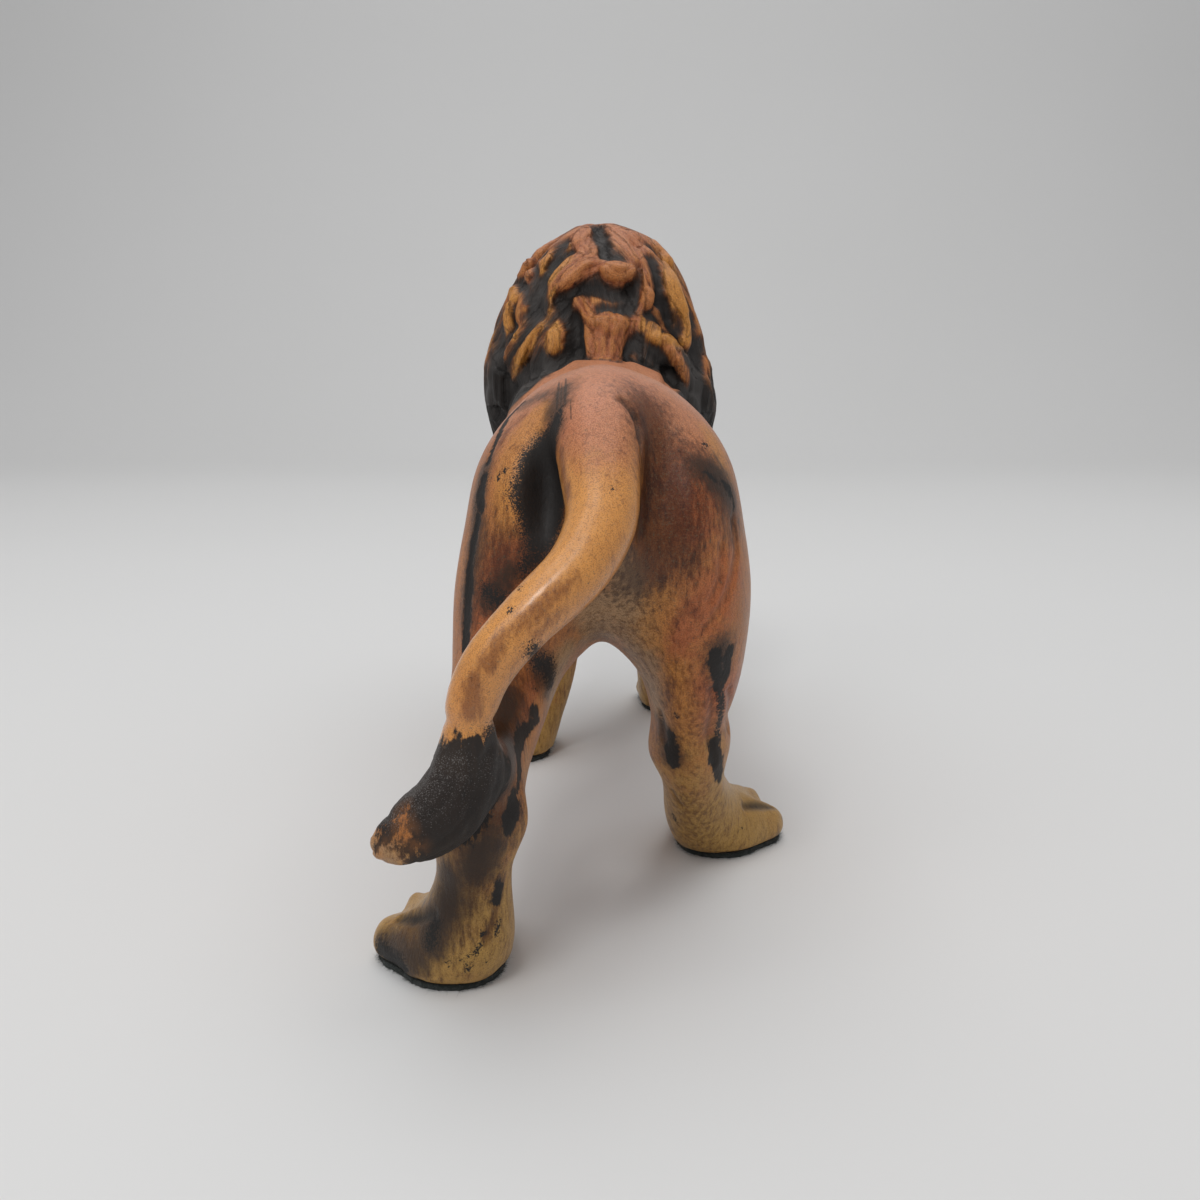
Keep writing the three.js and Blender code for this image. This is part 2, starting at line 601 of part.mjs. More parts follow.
// The big locks at the back of the head, as [height, azimuth] paths: left of the parting, right
// of it, and the broad one in the middle of the nape.
function addBackLocks(clay) {
  const left = [
    [[157, 0.35], [153, 0.66], [147, 0.86], [138, 1.02], [129, 1.16], [119, 1.25]],
    [[155, 0.3], [150, 0.62], [141, 0.82], [130, 0.86], [121, 0.76]],
    [[151, 0.02], [147, 0.14], [141, 0.42], [135, 0.58], [128, 0.52]],
    [[133, 0.5], [127, 0.64], [119, 0.86], [111, 1.02]],
    [[130, 0.26], [124, 0.36], [117, 0.52], [108, 0.6]],
    [[124, 1.12], [114, 1.2], [102, 1.12]],
  ];
  const right = [
    [[157, -0.4], [152, -0.95], [141, -1.22], [128, -1.34], [117, -1.3], [107, -1.36]],
    [[157, -0.3], [149, -0.76], [141, -0.9], [132, -1.02], [125, -1.04], [118, -0.92]],
    [[156, -0.1], [150, -0.36], [144, -0.5], [137, -0.54], [131, -0.42]],
    [[131, -0.34], [124, -0.6], [117, -0.82], [109, -0.96]],
    [[124, -0.26], [117, -0.4], [109, -0.5], [102, -0.62]],
    [[157, -0.9], [151, -1.3], [142, -1.52], [131, -1.6], [119, -1.56]],
  ];
  for (const path of [...left, ...right]) addLock(clay, path, 5.2, 1.8, 1.6);
  addLock(clay, [[139, -0.02], [131, -0.08], [122, -0.06], [114, -0.04], [106, 0]], 6.8, 2.4, 1.6);
  clay.add(egg(manePoint(143.5, -0.17, 2.5), point(4.4, 4, 3.8)), 0.6); // a curl in the middle
  clay.cut(limb([[0, MANE_Y, MANE_TOP + 1, 1.4, 2.5], [0, MANE_Y + 10, MANE_TOP - 5, 1.2, 2.5]]), 1); // the parting
}

// Locks that stream back from the edge of the face, the beard, and the ears.
function addFaceFrame(clay) {
  const count = 17;
  for (let n = 0; n < count; n++) {
    const angle = ((n + 0.5) / count) * 2 * Math.PI;
    const [s, c] = [Math.sin(angle), Math.cos(angle)];
    const wave = 3 * scatter(n + 300);
    clay.add(limb([
      [s * 17.5, -101, HEAD_Z + 3 + c * 17, 3, 2.4],
      [s * 22, -98, HEAD_Z + 2 + c * 20.5, 5, 3.8],
      [s * 26 + wave, -91, HEAD_Z - 1 + c * 22, 4.6, 3.6],
      [s * 29, -83, HEAD_Z - 7 + c * 22, 1, 1],
    ], point(c, 0, -s), 3), 0.4);
  }
  const beard = [
    [-8, 115, 26], [0, 112, 36], [8, 115, 26], [-15, 113, 32], [15, 113, 32],
    [-5, 98, 30], [6, 96, 30], [-12, 96, 26], [13, 95, 26],
  ];
  for (const [x, top, length] of beard) {
    const proud = -108 + 0.15 * Math.abs(x);
    clay.add(limb([
      [x, proud + 2, top, 3, 2.4],
      [x * 1.1 + 1, proud, top - 0.33 * length, 5.2, 4],
      [x * 1.05 - 1, proud + 3, top - 0.67 * length, 4.6, 3.8],
      [x * 0.8, proud + 9, top - length, 1, 1],
    ], point(1, 0, 0), 3), 0.5);
  }
  for (const side of SIDES) {
    clay.add(egg(point(side * 20, -88, HEAD_Z + 12.5), point(5.6, 4.2, 5.4), new THREE.Euler(0, side * 0.5, 0)), 1);
    clay.cut(egg(point(side * 20.6, -92, HEAD_Z + 12.5), point(3.4, 2.7, 3.6)), 1);
  }
}

// How the lion walks: the left hind and the right fore paw are back and forward, the others between.
const HIND_STRIDE = { 1: { reach: 31.5, bow: 0.8 }, [-1]: { reach: -18, bow: -2 } };
const FORE_STRIDE = { 1: { reach: 15, bow: -3 }, [-1]: { reach: -31, bow: 0 } };
const PAWS = [
  { name: "hind_left", side: 1, heelX: HALF_STANCE + 2, heelY: HIP_Y + 40, turn: 0.42 },
  { name: "hind_right", side: -1, heelX: HALF_STANCE + 2, heelY: HIP_Y - 22, turn: 0.47 },
  { name: "front_left", side: 1, heelX: HALF_STANCE + 0.3, heelY: WITHERS_Y + 10, turn: 0.2 },
  { name: "front_right", side: -1, heelX: HALF_STANCE - 0.3, heelY: WITHERS_Y - 41, turn: 0.2 },
];

const clay = new Clay(point(-52, -134, -GRID), point(52, 126, MANE_TOP + 5), GRID);
addTrunk(clay);
for (const side of SIDES) {
  addHindLeg(clay, side, HIND_STRIDE[side]);
  addForeleg(clay, side, FORE_STRIDE[side], HALF_STANCE);
}
const soles = PAWS.map((paw) => addPaw(clay, paw));
for (const side of SIDES) carveThigh(clay, side, HIND_STRIDE[side].reach);
addMane(clay);
addBackLocks(clay);
clay.soften();
addTail(clay);
addHead(clay);
addFaceFrame(clay);
clay.soften();
clay.level(FELT_THICKNESS);
clay.clean(point(0, 0, HIP));

// Triangles into a mesh of their own.
function meshOf(name, places, faces, material) {
  const used = [...new Set(faces.flat())];
  const order = new Map(used.map((i, n) => [i, n]));
  const geometry = new THREE.BufferGeometry();
  geometry.setAttribute("position", new THREE.Float32BufferAttribute(used.flatMap((i) => places[i].toArray()), 3));
  geometry.setIndex(faces.flat().map((i) => order.get(i)));
  geometry.computeVertexNormals();
  const mesh = new THREE.Mesh(geometry, material);
  mesh.name = name;
  return mesh;
}

// A felt pad, cut to the outline of a paw's sole and glued under it.
function feltUnder({ middle, shapes }) {
  const CORNERS = 24;
  const rim = Array.from({ length: CORNERS }, (_, n) => {
    const angle = (2 * Math.PI * n) / CORNERS;
    const out = point(Math.cos(angle), Math.sin(angle), 0);
    const covered = (r) => {
      const p = middle.clone().addScaledVector(out, r + FELT_MARGIN).setZ(FELT_THICKNESS);
      return shapes.some((shape) => shape.distance(p) < 0);
    };
    let r = 5;
    while (covered(r)) r += 0.1;
    return middle.clone().addScaledVector(out, r);
  });
  const low = [...rim.map((p) => p.clone()), middle.clone()];
  const high = low.map((p) => p.clone().setZ(FELT_THICKNESS));
  const top = CORNERS + 1;
  const faces = rim.flatMap((_, n) => {
    const next = (n + 1) % CORNERS;
    return [[n, next, top + next], [n, top + next, top + n], [CORNERS, next, n], [top + CORNERS, top + n, top + next]];
  });
  return { places: [...low, ...high], faces };
}

const bisque = new THREE.MeshStandardMaterial({ name: "bisque", color: 0xb97a3e, roughness: 0.62, metalness: 0 });
const felt = new THREE.MeshStandardMaterial({ name: "felt", color: 0x1f2a22, roughness: 1, metalness: 0 });

// Corners that the thinning left close to the sole's plane are set exactly on it.
const lion = thinned(skinOf(clay), LION_TRIANGLES);
const SNAP = 0.45;
for (const place of lion.places) if (place.z < FELT_THICKNESS + SNAP) place.z = FELT_THICKNESS;

const figurine = new THREE.Group();
figurine.name = "lion_figurine";
figurine.add(meshOf("lion", lion.places, lion.faces, bisque));
PAWS.forEach((paw, n) => {
  const pad = feltUnder(soles[n]);
  figurine.add(meshOf(`felt_pad_${paw.name}`, pad.places, pad.faces, felt));
});

// The middle of the lion's outline stands over the origin.
const middle = new THREE.Box3().setFromObject(figurine).getCenter(point(0, 0, 0));
for (const mesh of figurine.children) mesh.geometry.translate(-middle.x, -middle.y, 0);

export default figurine;
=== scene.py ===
# A walking lion in hand-painted bisque on four felt pads, seen from behind and a little above.

import bpy
import math
import numpy as np
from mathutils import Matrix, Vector
from mathutils.bvhtree import BVHTree


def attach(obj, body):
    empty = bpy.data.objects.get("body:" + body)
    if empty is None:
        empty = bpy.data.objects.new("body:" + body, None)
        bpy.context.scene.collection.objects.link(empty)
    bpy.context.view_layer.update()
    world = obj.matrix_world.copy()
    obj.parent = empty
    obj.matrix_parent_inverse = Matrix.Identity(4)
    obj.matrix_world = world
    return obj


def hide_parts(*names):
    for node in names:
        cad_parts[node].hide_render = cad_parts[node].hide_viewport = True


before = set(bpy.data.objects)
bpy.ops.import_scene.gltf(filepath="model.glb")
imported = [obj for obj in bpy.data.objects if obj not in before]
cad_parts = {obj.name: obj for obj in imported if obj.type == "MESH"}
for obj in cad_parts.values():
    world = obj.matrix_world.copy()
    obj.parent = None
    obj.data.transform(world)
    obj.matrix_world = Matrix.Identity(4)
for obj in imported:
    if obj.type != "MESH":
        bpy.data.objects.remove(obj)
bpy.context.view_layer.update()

bpy.ops.object.select_all(action="DESELECT")


# The camera stands close behind the figurine, a little lower than its mane is high, and looks down
# slightly, as a phone held over a table does. Its picture is a square of 1200 pixels.
CAMERA_AT = Vector((0.0002, 0.3167, 0.1190))
PITCH = math.radians(11.5)
PICTURE = 1200
FOCAL_LENGTH = 36
FILM_WIDTH = 36
bpy.ops.object.camera_add(location=CAMERA_AT, rotation=(math.pi / 2 - PITCH, 0, math.pi))
camera = bpy.context.object
camera.name = "camera"
camera.data.lens = FOCAL_LENGTH
camera.data.sensor_width = FILM_WIDTH
camera.data.clip_start = 0.01
bpy.context.scene.camera = camera


# The backdrop: one sheet of pale grey paper that lies on the table, runs back from it and curves up
# behind the lion to a wall without a crease.
PAPER_WIDTH = 4.0
PAPER_DEPTH = 1.6
PAPER_MIDDLE = -0.2
CURVE_RADIUS = 0.6
CURVE_STEPS = 16
WALL_HEIGHT = 1.6
bpy.ops.mesh.primitive_plane_add(size=1, location=(0, PAPER_MIDDLE, 0))
paper = bpy.context.object
paper.name = "backdrop"
paper.scale = (PAPER_WIDTH, PAPER_DEPTH, 1)
bpy.ops.object.transform_apply(location=True, scale=True)
bpy.ops.object.mode_set(mode="EDIT")
bpy.ops.mesh.select_mode(type="EDGE")
bpy.ops.mesh.select_all(action="DESELECT")
bpy.ops.object.mode_set(mode="OBJECT")
back_edge = PAPER_MIDDLE - PAPER_DEPTH / 2
for edge in paper.data.edges:
    edge.select = all(paper.data.vertices[v].co.y < back_edge + 0.1 for v in edge.vertices)
bpy.ops.object.mode_set(mode="EDIT")
stride = CURVE_RADIUS * math.radians(90) / CURVE_STEPS
for step in range(CURVE_STEPS):
    angle = math.radians(90 * (step + 0.5) / CURVE_STEPS)
    bpy.ops.mesh.extrude_region_move(
        TRANSFORM_OT_translate={"value": (0, -stride * math.cos(angle), stride * math.sin(angle))})
bpy.ops.mesh.extrude_region_move(TRANSFORM_OT_translate={"value": (0, 0, WALL_HEIGHT)})
bpy.ops.object.mode_set(mode="OBJECT")
bpy.ops.object.shade_smooth()


def add(tree, kind, inputs=(), **settings):
    """A node with its settings, and for each input a value or the socket that feeds it."""
    made = tree.nodes.new(kind)
    for name, value in settings.items():
        setattr(made, name, value)
    for name, value in dict(inputs).items():
        feed(tree, made.inputs[name], value)
    return made


def feed(tree, socket, value):
    if isinstance(value, bpy.types.NodeSocket):
        tree.links.new(value, socket)
    else:
        socket.default_value = value


PAPER_GREY = (0.71, 0.71, 0.70, 1)
PAPER_LIGHT = (0.76, 0.76, 0.755, 1)
paper_look = bpy.data.materials.new("backdrop_paper")
paper_look.use_nodes = True
paper_tree = paper_look.node_tree
paper_shader = paper_tree.nodes["Principled BSDF"]
paper_shader.inputs["Roughness"].default_value = 0.85
paper_shader.inputs["Specular IOR Level"].default_value = 0.25
paper_place = add(paper_tree, "ShaderNodeTexCoord").outputs["Object"]
mottle = add(paper_tree, "ShaderNodeTexNoise", {"Vector": paper_place, "Scale": 1.6, "Detail": 2})
tone = add(paper_tree, "ShaderNodeValToRGB", {"Fac": mottle.outputs["Fac"]})
tone.color_ramp.elements[0].color = PAPER_GREY
tone.color_ramp.elements[1].color = PAPER_LIGHT
feed(paper_tree, paper_shader.inputs["Base Color"], tone.outputs["Color"])
paper.data.materials.append(paper_look)


# The light: one big soft lamp over the lion, a small one in front of the table for the shine on the
# tail, a weak one to its side, and a pale sky that fills the shadows.
for name, spot, size, power, turn in (
    ("lamp_top", (-0.05, -0.38, 1.3), 1.5, 9.2, (0, 0, 0)),
    ("lamp_front", (0.2, 0.62, 0.9), 0.22, 2.3, (math.radians(-36), 0, math.radians(-17))),
    ("lamp_side", (0.5, 0.45, 0.7), 0.4, 0.7, (math.radians(-32), math.radians(36), 0)),
):
    bpy.ops.object.light_add(type="AREA", location=spot, rotation=turn)
    lamp = bpy.context.object
    lamp.name = name
    lamp.data.size = size
    lamp.data.energy = power
sky = bpy.data.worlds.new("studio")
sky.use_nodes = True
sky.node_tree.nodes["Background"].inputs["Color"].default_value = (0.98, 0.98, 1.0, 1)
sky.node_tree.nodes["Background"].inputs["Strength"].default_value = 0.39
bpy.context.scene.world = sky
bpy.context.scene.view_settings.view_transform = "Standard"


# The lion is one slip casting in bisque, hollow, with its legs, tail and mane in one piece. Its
# surface is rounded and laid out in small even cells, fine enough to carve hair into.
LION_CELL = 0.0007
DOUBLES_WITHIN = 1e-6


def clay_copy(cad_name, name, cell, rounds=0):
    """A copy of a solid with its facets merged and rounded, in even cells."""
    piece = bpy.data.objects.new(name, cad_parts[cad_name].data.copy())
    bpy.context.collection.objects.link(piece)
    bpy.ops.object.select_all(action="DESELECT")
    bpy.context.view_layer.objects.active = piece
    piece.select_set(True)
    bpy.ops.object.mode_set(mode="EDIT")
    bpy.ops.mesh.select_all(action="SELECT")
    bpy.ops.mesh.remove_doubles(threshold=DOUBLES_WITHIN)
    bpy.ops.object.mode_set(mode="OBJECT")
    if rounds:
        rounding = piece.modifiers.new("rounding", "SUBSURF")
        rounding.levels = rounds
        bpy.ops.object.modifier_apply(modifier="rounding")
    cells = piece.modifiers.new("cells", "REMESH")
    cells.mode = "VOXEL"
    cells.voxel_size = cell
    bpy.ops.object.modifier_apply(modifier="cells")
    return piece


lion = clay_copy("lion", "lion_casting", LION_CELL, rounds=2)

# From here to the paint, the lion is measured in millimetres from its own middle line: x to its
# left, y to its rump and z up. The middle of the frame lies at LION_AT.
LION_AT = np.array([0.206, 1.696, 0.0])
SOLE = 1.3  # the height of the paws' soles, on top of the felt


def corners_of(mesh):
    """Corner positions and normals."""
    flat = np.empty(3 * len(mesh.vertices))
    mesh.vertices.foreach_get("co", flat)
    facing = np.empty_like(flat)
    mesh.vertices.foreach_get("normal", facing)
    return 1000 * flat.reshape(-1, 3) - LION_AT, facing.reshape(-1, 3)


def move_corners(mesh, place):
    place[:, 2] = np.maximum(place[:, 2], SOLE)
    mesh.vertices.foreach_set("co", ((place + LION_AT) / 1000).ravel())
    mesh.update()


def smoother(mesh):
    """A function that averages values over neighbouring corners a number of times."""
    pairs = np.empty(2 * len(mesh.edges), dtype=np.int32)
    mesh.edges.foreach_get("vertices", pairs)
    first, second = pairs[::2], pairs[1::2]
    total = len(mesh.vertices)
    count = np.bincount(first, minlength=total) + np.bincount(second, minlength=total)

    def sum_of_neighbours(column):
        return np.bincount(first, column[second], total) + np.bincount(second, column[first], total)

    def smooth(values, rounds, share=0.5):
        values = values.reshape(total, -1)
        for _ in range(rounds):
            mean = np.stack([sum_of_neighbours(column) / count for column in values.T], axis=1)
            values = values + share * (mean - values)
        return values.squeeze()

    return smooth


def ramp(value, low, high):
    """0 below low, 1 above high, smooth between them."""
    t = np.clip((value - low) / (high - low), 0, 1)
    return t * t * (3 - 2 * t)


def scatter(n):
    """An even scatter from -1 to 1, the same for the same number."""
    s = math.sin(n * 127.1 + 11.7) * 43758.5453
    return 2 * (s - math.floor(s)) - 1


# The mane is modelled in the same clay, as locks that hang in rows round a full egg-shaped head of
# hair. A lock is a row of stations (x, y, z, half width, half thickness), the direction across it
# and its kind; the hair lies along it, and the paint tells its ridge from the furrow.
MANE_RINGS = np.array([  # height, middle y, half width, half depth, middle x
    (157.5, -78, 5, 5, 0), (154, -77, 13.5, 13, 0), (147, -76, 20.5, 19.5, 0.3), (136, -74, 25, 24, 0.8),
    (123, -71, 30, 27, 1.2), (110, -69, 33, 28, 0.2), (94, -71, 31, 26, -1.4), (78, -76, 24, 22, -1.6),
    (62, -80, 15, 15, -1), (54, -81, 6, 6, -0.5)])
ROW_HEIGHTS = (147, 135, 122, 109, 96, 84, 74)
ROW_SPACING = 10.2
LOCK_HALF_WIDTH = 5.2
LOCK_LENGTH = 27
locks = []


def mane_point(height, azimuth, out):
    """A point on the head of hair or `out` from it; azimuth 0 is the back."""
    y, width, depth, x = (np.interp(height, MANE_RINGS[::-1, 0], MANE_RINGS[::-1, k]) for k in (1, 2, 3, 4))
    return (x + (width + out) * math.sin(azimuth), y + (depth + out) * math.cos(azimuth), height)


def hang_lock(path, half_width, lift, kind):
    """A lock along a path of (height, azimuth), rooted under the hair and lifted off it."""
    stations = []
    for n, (height, azimuth) in enumerate(path):
        t = n / (len(path) - 1)
        swell = math.sin(math.pi * (0.25 + 0.71 * t))
        out = -1.5 + (lift + 1.5) * min(1, 1.5 * t)
        stations.append((*mane_point(height, azimuth, out),
                         half_width * swell + 0.3, 0.6 * half_width * swell + 0.7))
    middle = path[(len(path) - 1) // 2][1]
    locks.append((np.array(stations), np.array((math.cos(middle), -math.sin(middle), 0)), kind))


def over_the_face(azimuth, height):
    return abs(azimuth) > 1.95 and height > 100


def on_the_back(azimuth, height):
    return abs(azimuth) < 1.15 and height > 112


for row, height in enumerate(ROW_HEIGHTS):
    count = round(2 * math.pi * mane_point(height, math.pi / 2, 0)[0] / ROW_SPACING)
    for n in range(count):
        shift = scatter(row * 40 + n)
        azimuth = ((n + 0.5 * (row % 2) + 0.25 * shift) / count - 0.5) * 2 * math.pi
        if over_the_face(azimuth, height) or on_the_back(azimuth, height):
            continue
        sway = 0.14 * scatter(row * 40 + n + 900)
        drift = 0.25 * math.sin(azimuth) + 0.14 * shift
        length = LOCK_LENGTH + 5 * scatter(row * 40 + n + 500)
        hang_lock([(height + 9 - t * length, azimuth + drift * t + sway * math.sin(6 * t))
                   for t in (0, 0.25, 0.5, 0.75, 1)], LOCK_HALF_WIDTH, 1.6, "row")

BACK_LOCKS = {  # the locks that part at the crown and hang down the back, as (height, azimuth)
    "outermost on the left": [(157, 0.35), (153, 0.66), (147, 0.86), (138, 1.02), (129, 1.16), (119, 1.25)],
    "next on the left": [(155, 0.3), (150, 0.62), (141, 0.82), (130, 0.86), (121, 0.76)],
    "inner on the left": [(151, 0.02), (147, 0.14), (141, 0.42), (135, 0.58), (128, 0.52)],
    "second row, left": [(133, 0.5), (127, 0.64), (119, 0.86), (111, 1.02)],
    "second row, beside the column": [(130, 0.26), (124, 0.36), (117, 0.52), (108, 0.6)],
    "low on the left": [(124, 1.12), (114, 1.2), (102, 1.12)],
    "outermost on the right": [(157, -0.4), (152, -0.95), (141, -1.22), (128, -1.34), (117, -1.3),
                               (107, -1.36)],
    "next on the right": [(157, -0.3), (149, -0.76), (141, -0.9), (132, -1.02), (125, -1.04), (118, -0.92)],
    "inner on the right": [(156, -0.1), (150, -0.36), (144, -0.5), (137, -0.54), (131, -0.42)],
    "second row, right": [(131, -0.34), (124, -0.6), (117, -0.82), (109, -0.96)],
    "second row, right of the column": [(124, -0.26), (117, -0.4), (109, -0.5), (102, -0.62)],
    "right side": [(157, -0.9), (151, -1.3), (142, -1.52), (131, -1.6), (119, -1.56)],
}
for path in BACK_LOCKS.values():
    hang_lock(path, LOCK_HALF_WIDTH, 1.8, "back")
hang_lock([(139, -0.02), (131, -0.08), (122, -0.06), (114, -0.04), (106, 0)], 6.8, 2.4, "column")

FACE_LOCKS = 17  # they stream back from the edge of the face
for n in range(FACE_LOCKS):
    angle = (n + 0.5) / FACE_LOCKS * 2 * math.pi
    s, c = math.sin(angle), math.cos(angle)
    wave = 3 * scatter(n + 300)
    locks.append((np.array([
        (s * 17.5, -101, 136 + c * 17, 3, 2.4), (s * 22, -98, 135 + c * 20.5, 5, 3.8),
        (s * 26 + wave, -91, 132 + c * 22, 4.6, 3.6), (s * 29, -83, 126 + c * 22, 1, 1)]),
        np.array((c, 0, -s)), "face"))

BEARD_LOCKS = (  # x, top, length
    (-8, 115, 26), (0, 112, 36), (8, 115, 26), (-15, 113, 32), (15, 113, 32), (-5, 98, 30), (6, 96, 30),
    (-12, 96, 26), (13, 95, 26))
for x, top, length in BEARD_LOCKS:
    proud = -108 + 0.15 * abs(x)
    locks.append((np.array([
        (x, proud + 2, top, 3, 2.4), (x * 1.1 + 1, proud, top - 0.33 * length, 5.2, 4),
        (x * 1.05 - 1, proud + 3, top - 0.67 * length, 4.6, 3.8), (x * 0.8, proud + 9, top - length, 1, 1)]),
        np.array((1, 0, 0)), "beard"))

TUFT_LOCK = [(23, 113, 53, 4.4, 4.4), (24.2, 113.5, 46, 6.4, 6.4), (27.7, 114.5, 40.3, 6.8, 6.8),
             (33.2, 116, 36.6, 5.6, 5.6), (37.3, 117, 35, 3.4, 3.4)]
locks.append((np.array(TUFT_LOCK), np.array((0.6, 0, 0.8)), "tuft"))


# The hand work on this one figurine, by brush, sponge and needle, laid down from where it is seen: a
# stroke is a row of (pixel across, pixel down, half width in mm, under 0 for a faint one) in the
# camera's picture, dropped on the lion. Each kind has the width of its soft edge, then its strokes.

# The mane, as it is seen from behind.
HAIR_STROKES = {
    "hollow_hair": (3.0, {  # the dark hollows between the locks
        "parting at the crown": [(597, 227, 0.4), (601, 236, 0.8), (605, 247, 0.2), (602, 256, -0.8)],
        "upper left, outer": [(543, 236, 0.2), (541, 254, 0.6)],
        "upper left, inner": [(566, 240, 0.4), (558, 252, 1.0), (551, 265, 0.5)],
        "long one down the left": [(528, 260, 0.2), (533, 274, 0.8), (540, 288, 1.8), (540, 305, 1.8),
            (532, 322, 1.6), (518, 340, 1.2)],
        "beside the left lobe": [(514, 281, -0.4), (524, 286, 0.2), (530, 298, 0.6)],
        "under the curl": [(586, 288, 0.6), (598, 288, 1.2), (612, 293, 1.6), (630, 290, 1.0),
            (637, 276, 0.4)],
        "above the middle panel": [(598, 308, 0.0), (618, 309, 0.3), (636, 303, 0.0)],
        "left of the middle panel": [(560, 300, 0.8), (566, 306, 1.4), (572, 322, 1.2), (578, 344, 2.4),
            (576, 356, 1.8), (556, 366, 1.6)],
        "right of the curl's tail": [(650, 313, 0.4), (656, 314, 0.8), (662, 326, 0.6)],
        "right, inner": [(664, 300, -0.6), (668, 318, -0.4), (666, 332, -0.6)],
        "right, outer": [(678, 312, -0.7), (681, 330, -0.6)],
        "right of the middle panel": [(627, 348, 0.6), (638, 340, 0.8), (648, 356, 2.0), (662, 362, 1.8),
            (672, 378, 1.4), (684, 400, 1.0)],
        "left edge": [(500, 325, 0.2), (497, 345, 1.4), (494, 375, 2.0), (490, 406, 1.8)],
        "between the gold locks": [(514, 344, 0.4), (508, 358, 0.8), (503, 376, 1.2)],
        "low on the left": [(516, 384, 0.4), (506, 400, 1.0)],
        "beside the drop": [(538, 354, 0.4), (534, 370, 0.8), (528, 386, 0.8)],
        "right edge": [(698, 316, 0.4), (702, 345, 1.4), (698, 372, 1.6), (702, 400, 1.8)],
        "beside the curl": [(641, 266, -0.4), (640, 284, -0.2), (636, 298, 0.2)],
        "upper right": [(653, 258, -0.4), (660, 284, -0.2)],
    }),
    "nape": (2.6, {  # the mane's dark edge on the shoulders
        "left": [(496, 412, 4.0), (512, 397, 5.6), (526, 384, 5.8), (539, 373, 5.4), (550, 366, 3.6)],
        "right": [(664, 365, 3.6), (676, 377, 6.0), (687, 391, 6.8), (697, 407, 6.4), (703, 420, 4.0)],
    }),
    "gold_hair": (2.4, {  # locks painted gold
        "long lock on the right": [(644, 230, 0.4), (656, 242, 1.6), (667, 262, 2.4), (673, 284, 2.2),
            (682, 306, 1.2), (689, 326, 0.4), (686, 340, -0.2)],
        "cross lock on the right": [(642, 326, 0.0), (654, 338, 0.6), (668, 339, 0.5), (680, 340, 0.2)],
        "slanting lock on the left": [(546, 325, 0.0), (534, 335, 0.6), (525, 352, 0.8), (516, 370, 0.4),
            (511, 382, -0.2)],
        "drop on the left": [(555, 324, -0.2), (552, 340, 1.0), (554, 353, 0.6)],
        "lobe on the left edge": [(513, 290, 0.4), (517, 300, 0.6)],
        "lobe below it": [(508, 306, 0.6), (509, 322, 0.8), (514, 336, 0.0)],
        "left edge": [(494, 330, -0.2), (490, 344, 0.0), (486, 357, -0.4)],
        "left of the curl": [(560, 282, -0.6), (551, 298, -0.4), (548, 318, -0.4)],
        "upper left, outer": [(550, 238, 0.0), (549, 254, 0.4), (543, 274, 0.2)],
        "upper left, inner": [(572, 240, 0.0), (564, 262, 0.6), (550, 280, 0.0)],
        "thin lock on the right": [(672, 304, -0.8), (675, 322, -0.7), (672, 336, -0.6)],
    }),
    "copper_hair": (3.0, {  # locks painted copper
        "middle panel": [(592, 320, 0.8), (612, 325, 3.6), (609, 340, 3.6), (607, 355, 3.4)],
        "panel's left edge": [(586, 326, 0.2), (590, 342, 0.6), (596, 356, 0.2)],
        "panel's right edge": [(632, 324, 0.4), (624, 342, 0.6), (620, 356, 0.2)],
        "above the panel": [(578, 302, 0.6), (584, 312, 1.0), (594, 324, 1.6)],
        "curl's arm": [(600, 262, 0.8), (586, 267, 1.6), (572, 277, 1.6), (560, 288, 0.8)],
        "curl's head": [(608, 270, 1.6), (619, 275, 2.6), (630, 270, 1.4)],
        "crown, right": [(616, 229, 1.2), (630, 238, 3.0), (638, 254, 1.4)],
        "crown, left": [(588, 229, 1.0), (580, 240, 2.0), (586, 252, 1.0)],
        "lobe at the upper left": [(527, 262, 0.6), (528, 276, 0.6)],
        "right of the curl": [(643, 268, -0.2), (648, 286, 0.6), (650, 300, 0.9), (646, 307, 0.4)],
        "low on the right": [(666, 346, 0.2), (676, 358, 0.8), (684, 376, 0.5), (686, 386, -0.2)],
        "right edge": [(706, 356, -0.6), (707, 370, -0.4), (706, 384, -0.6)],
        "left edge": [(503, 346, -0.8), (503, 362, -0.6), (504, 378, -0.8)],
    }),
    "lobe": (2.6, {  # where the locks stand proudest
        "upper left": [(527, 262, 0.4), (528, 274, 0.4)],
        "left edge": [(514, 290, 0.2), (517, 300, 0.4)],
        "left edge, lower": [(509, 308, 0.2), (510, 326, 0.2)],
        "curl's head": [(608, 272, 0.8), (619, 276, 2.0), (630, 272, 0.8)],
        "curl's arm": [(586, 266, 0.4), (572, 276, 0.6), (561, 286, 0.2)],
        "top of the middle panel": [(592, 322, 0.0), (612, 326, 1.6), (628, 322, 0.2)],
        "drop on the left": [(552, 334, 0.2), (553, 350, 0.6)],
        "right of the curl": [(650, 294, 0.2), (648, 304, 0.5)],
        "cross lock on the right": [(656, 338, 0.0), (668, 340, 0.0)],
        "low on the right": [(670, 350, 0.0), (680, 366, 0.2), (685, 384, 0.0)],
        "slanting lock on the left": [(542, 327, 0.0), (530, 342, 0.2), (520, 362, 0.1)],
        "long lock on the right": [(654, 240, 0.4), (667, 262, 1.0), (674, 284, 1.0), (684, 310, 0.4)],
    }),
}

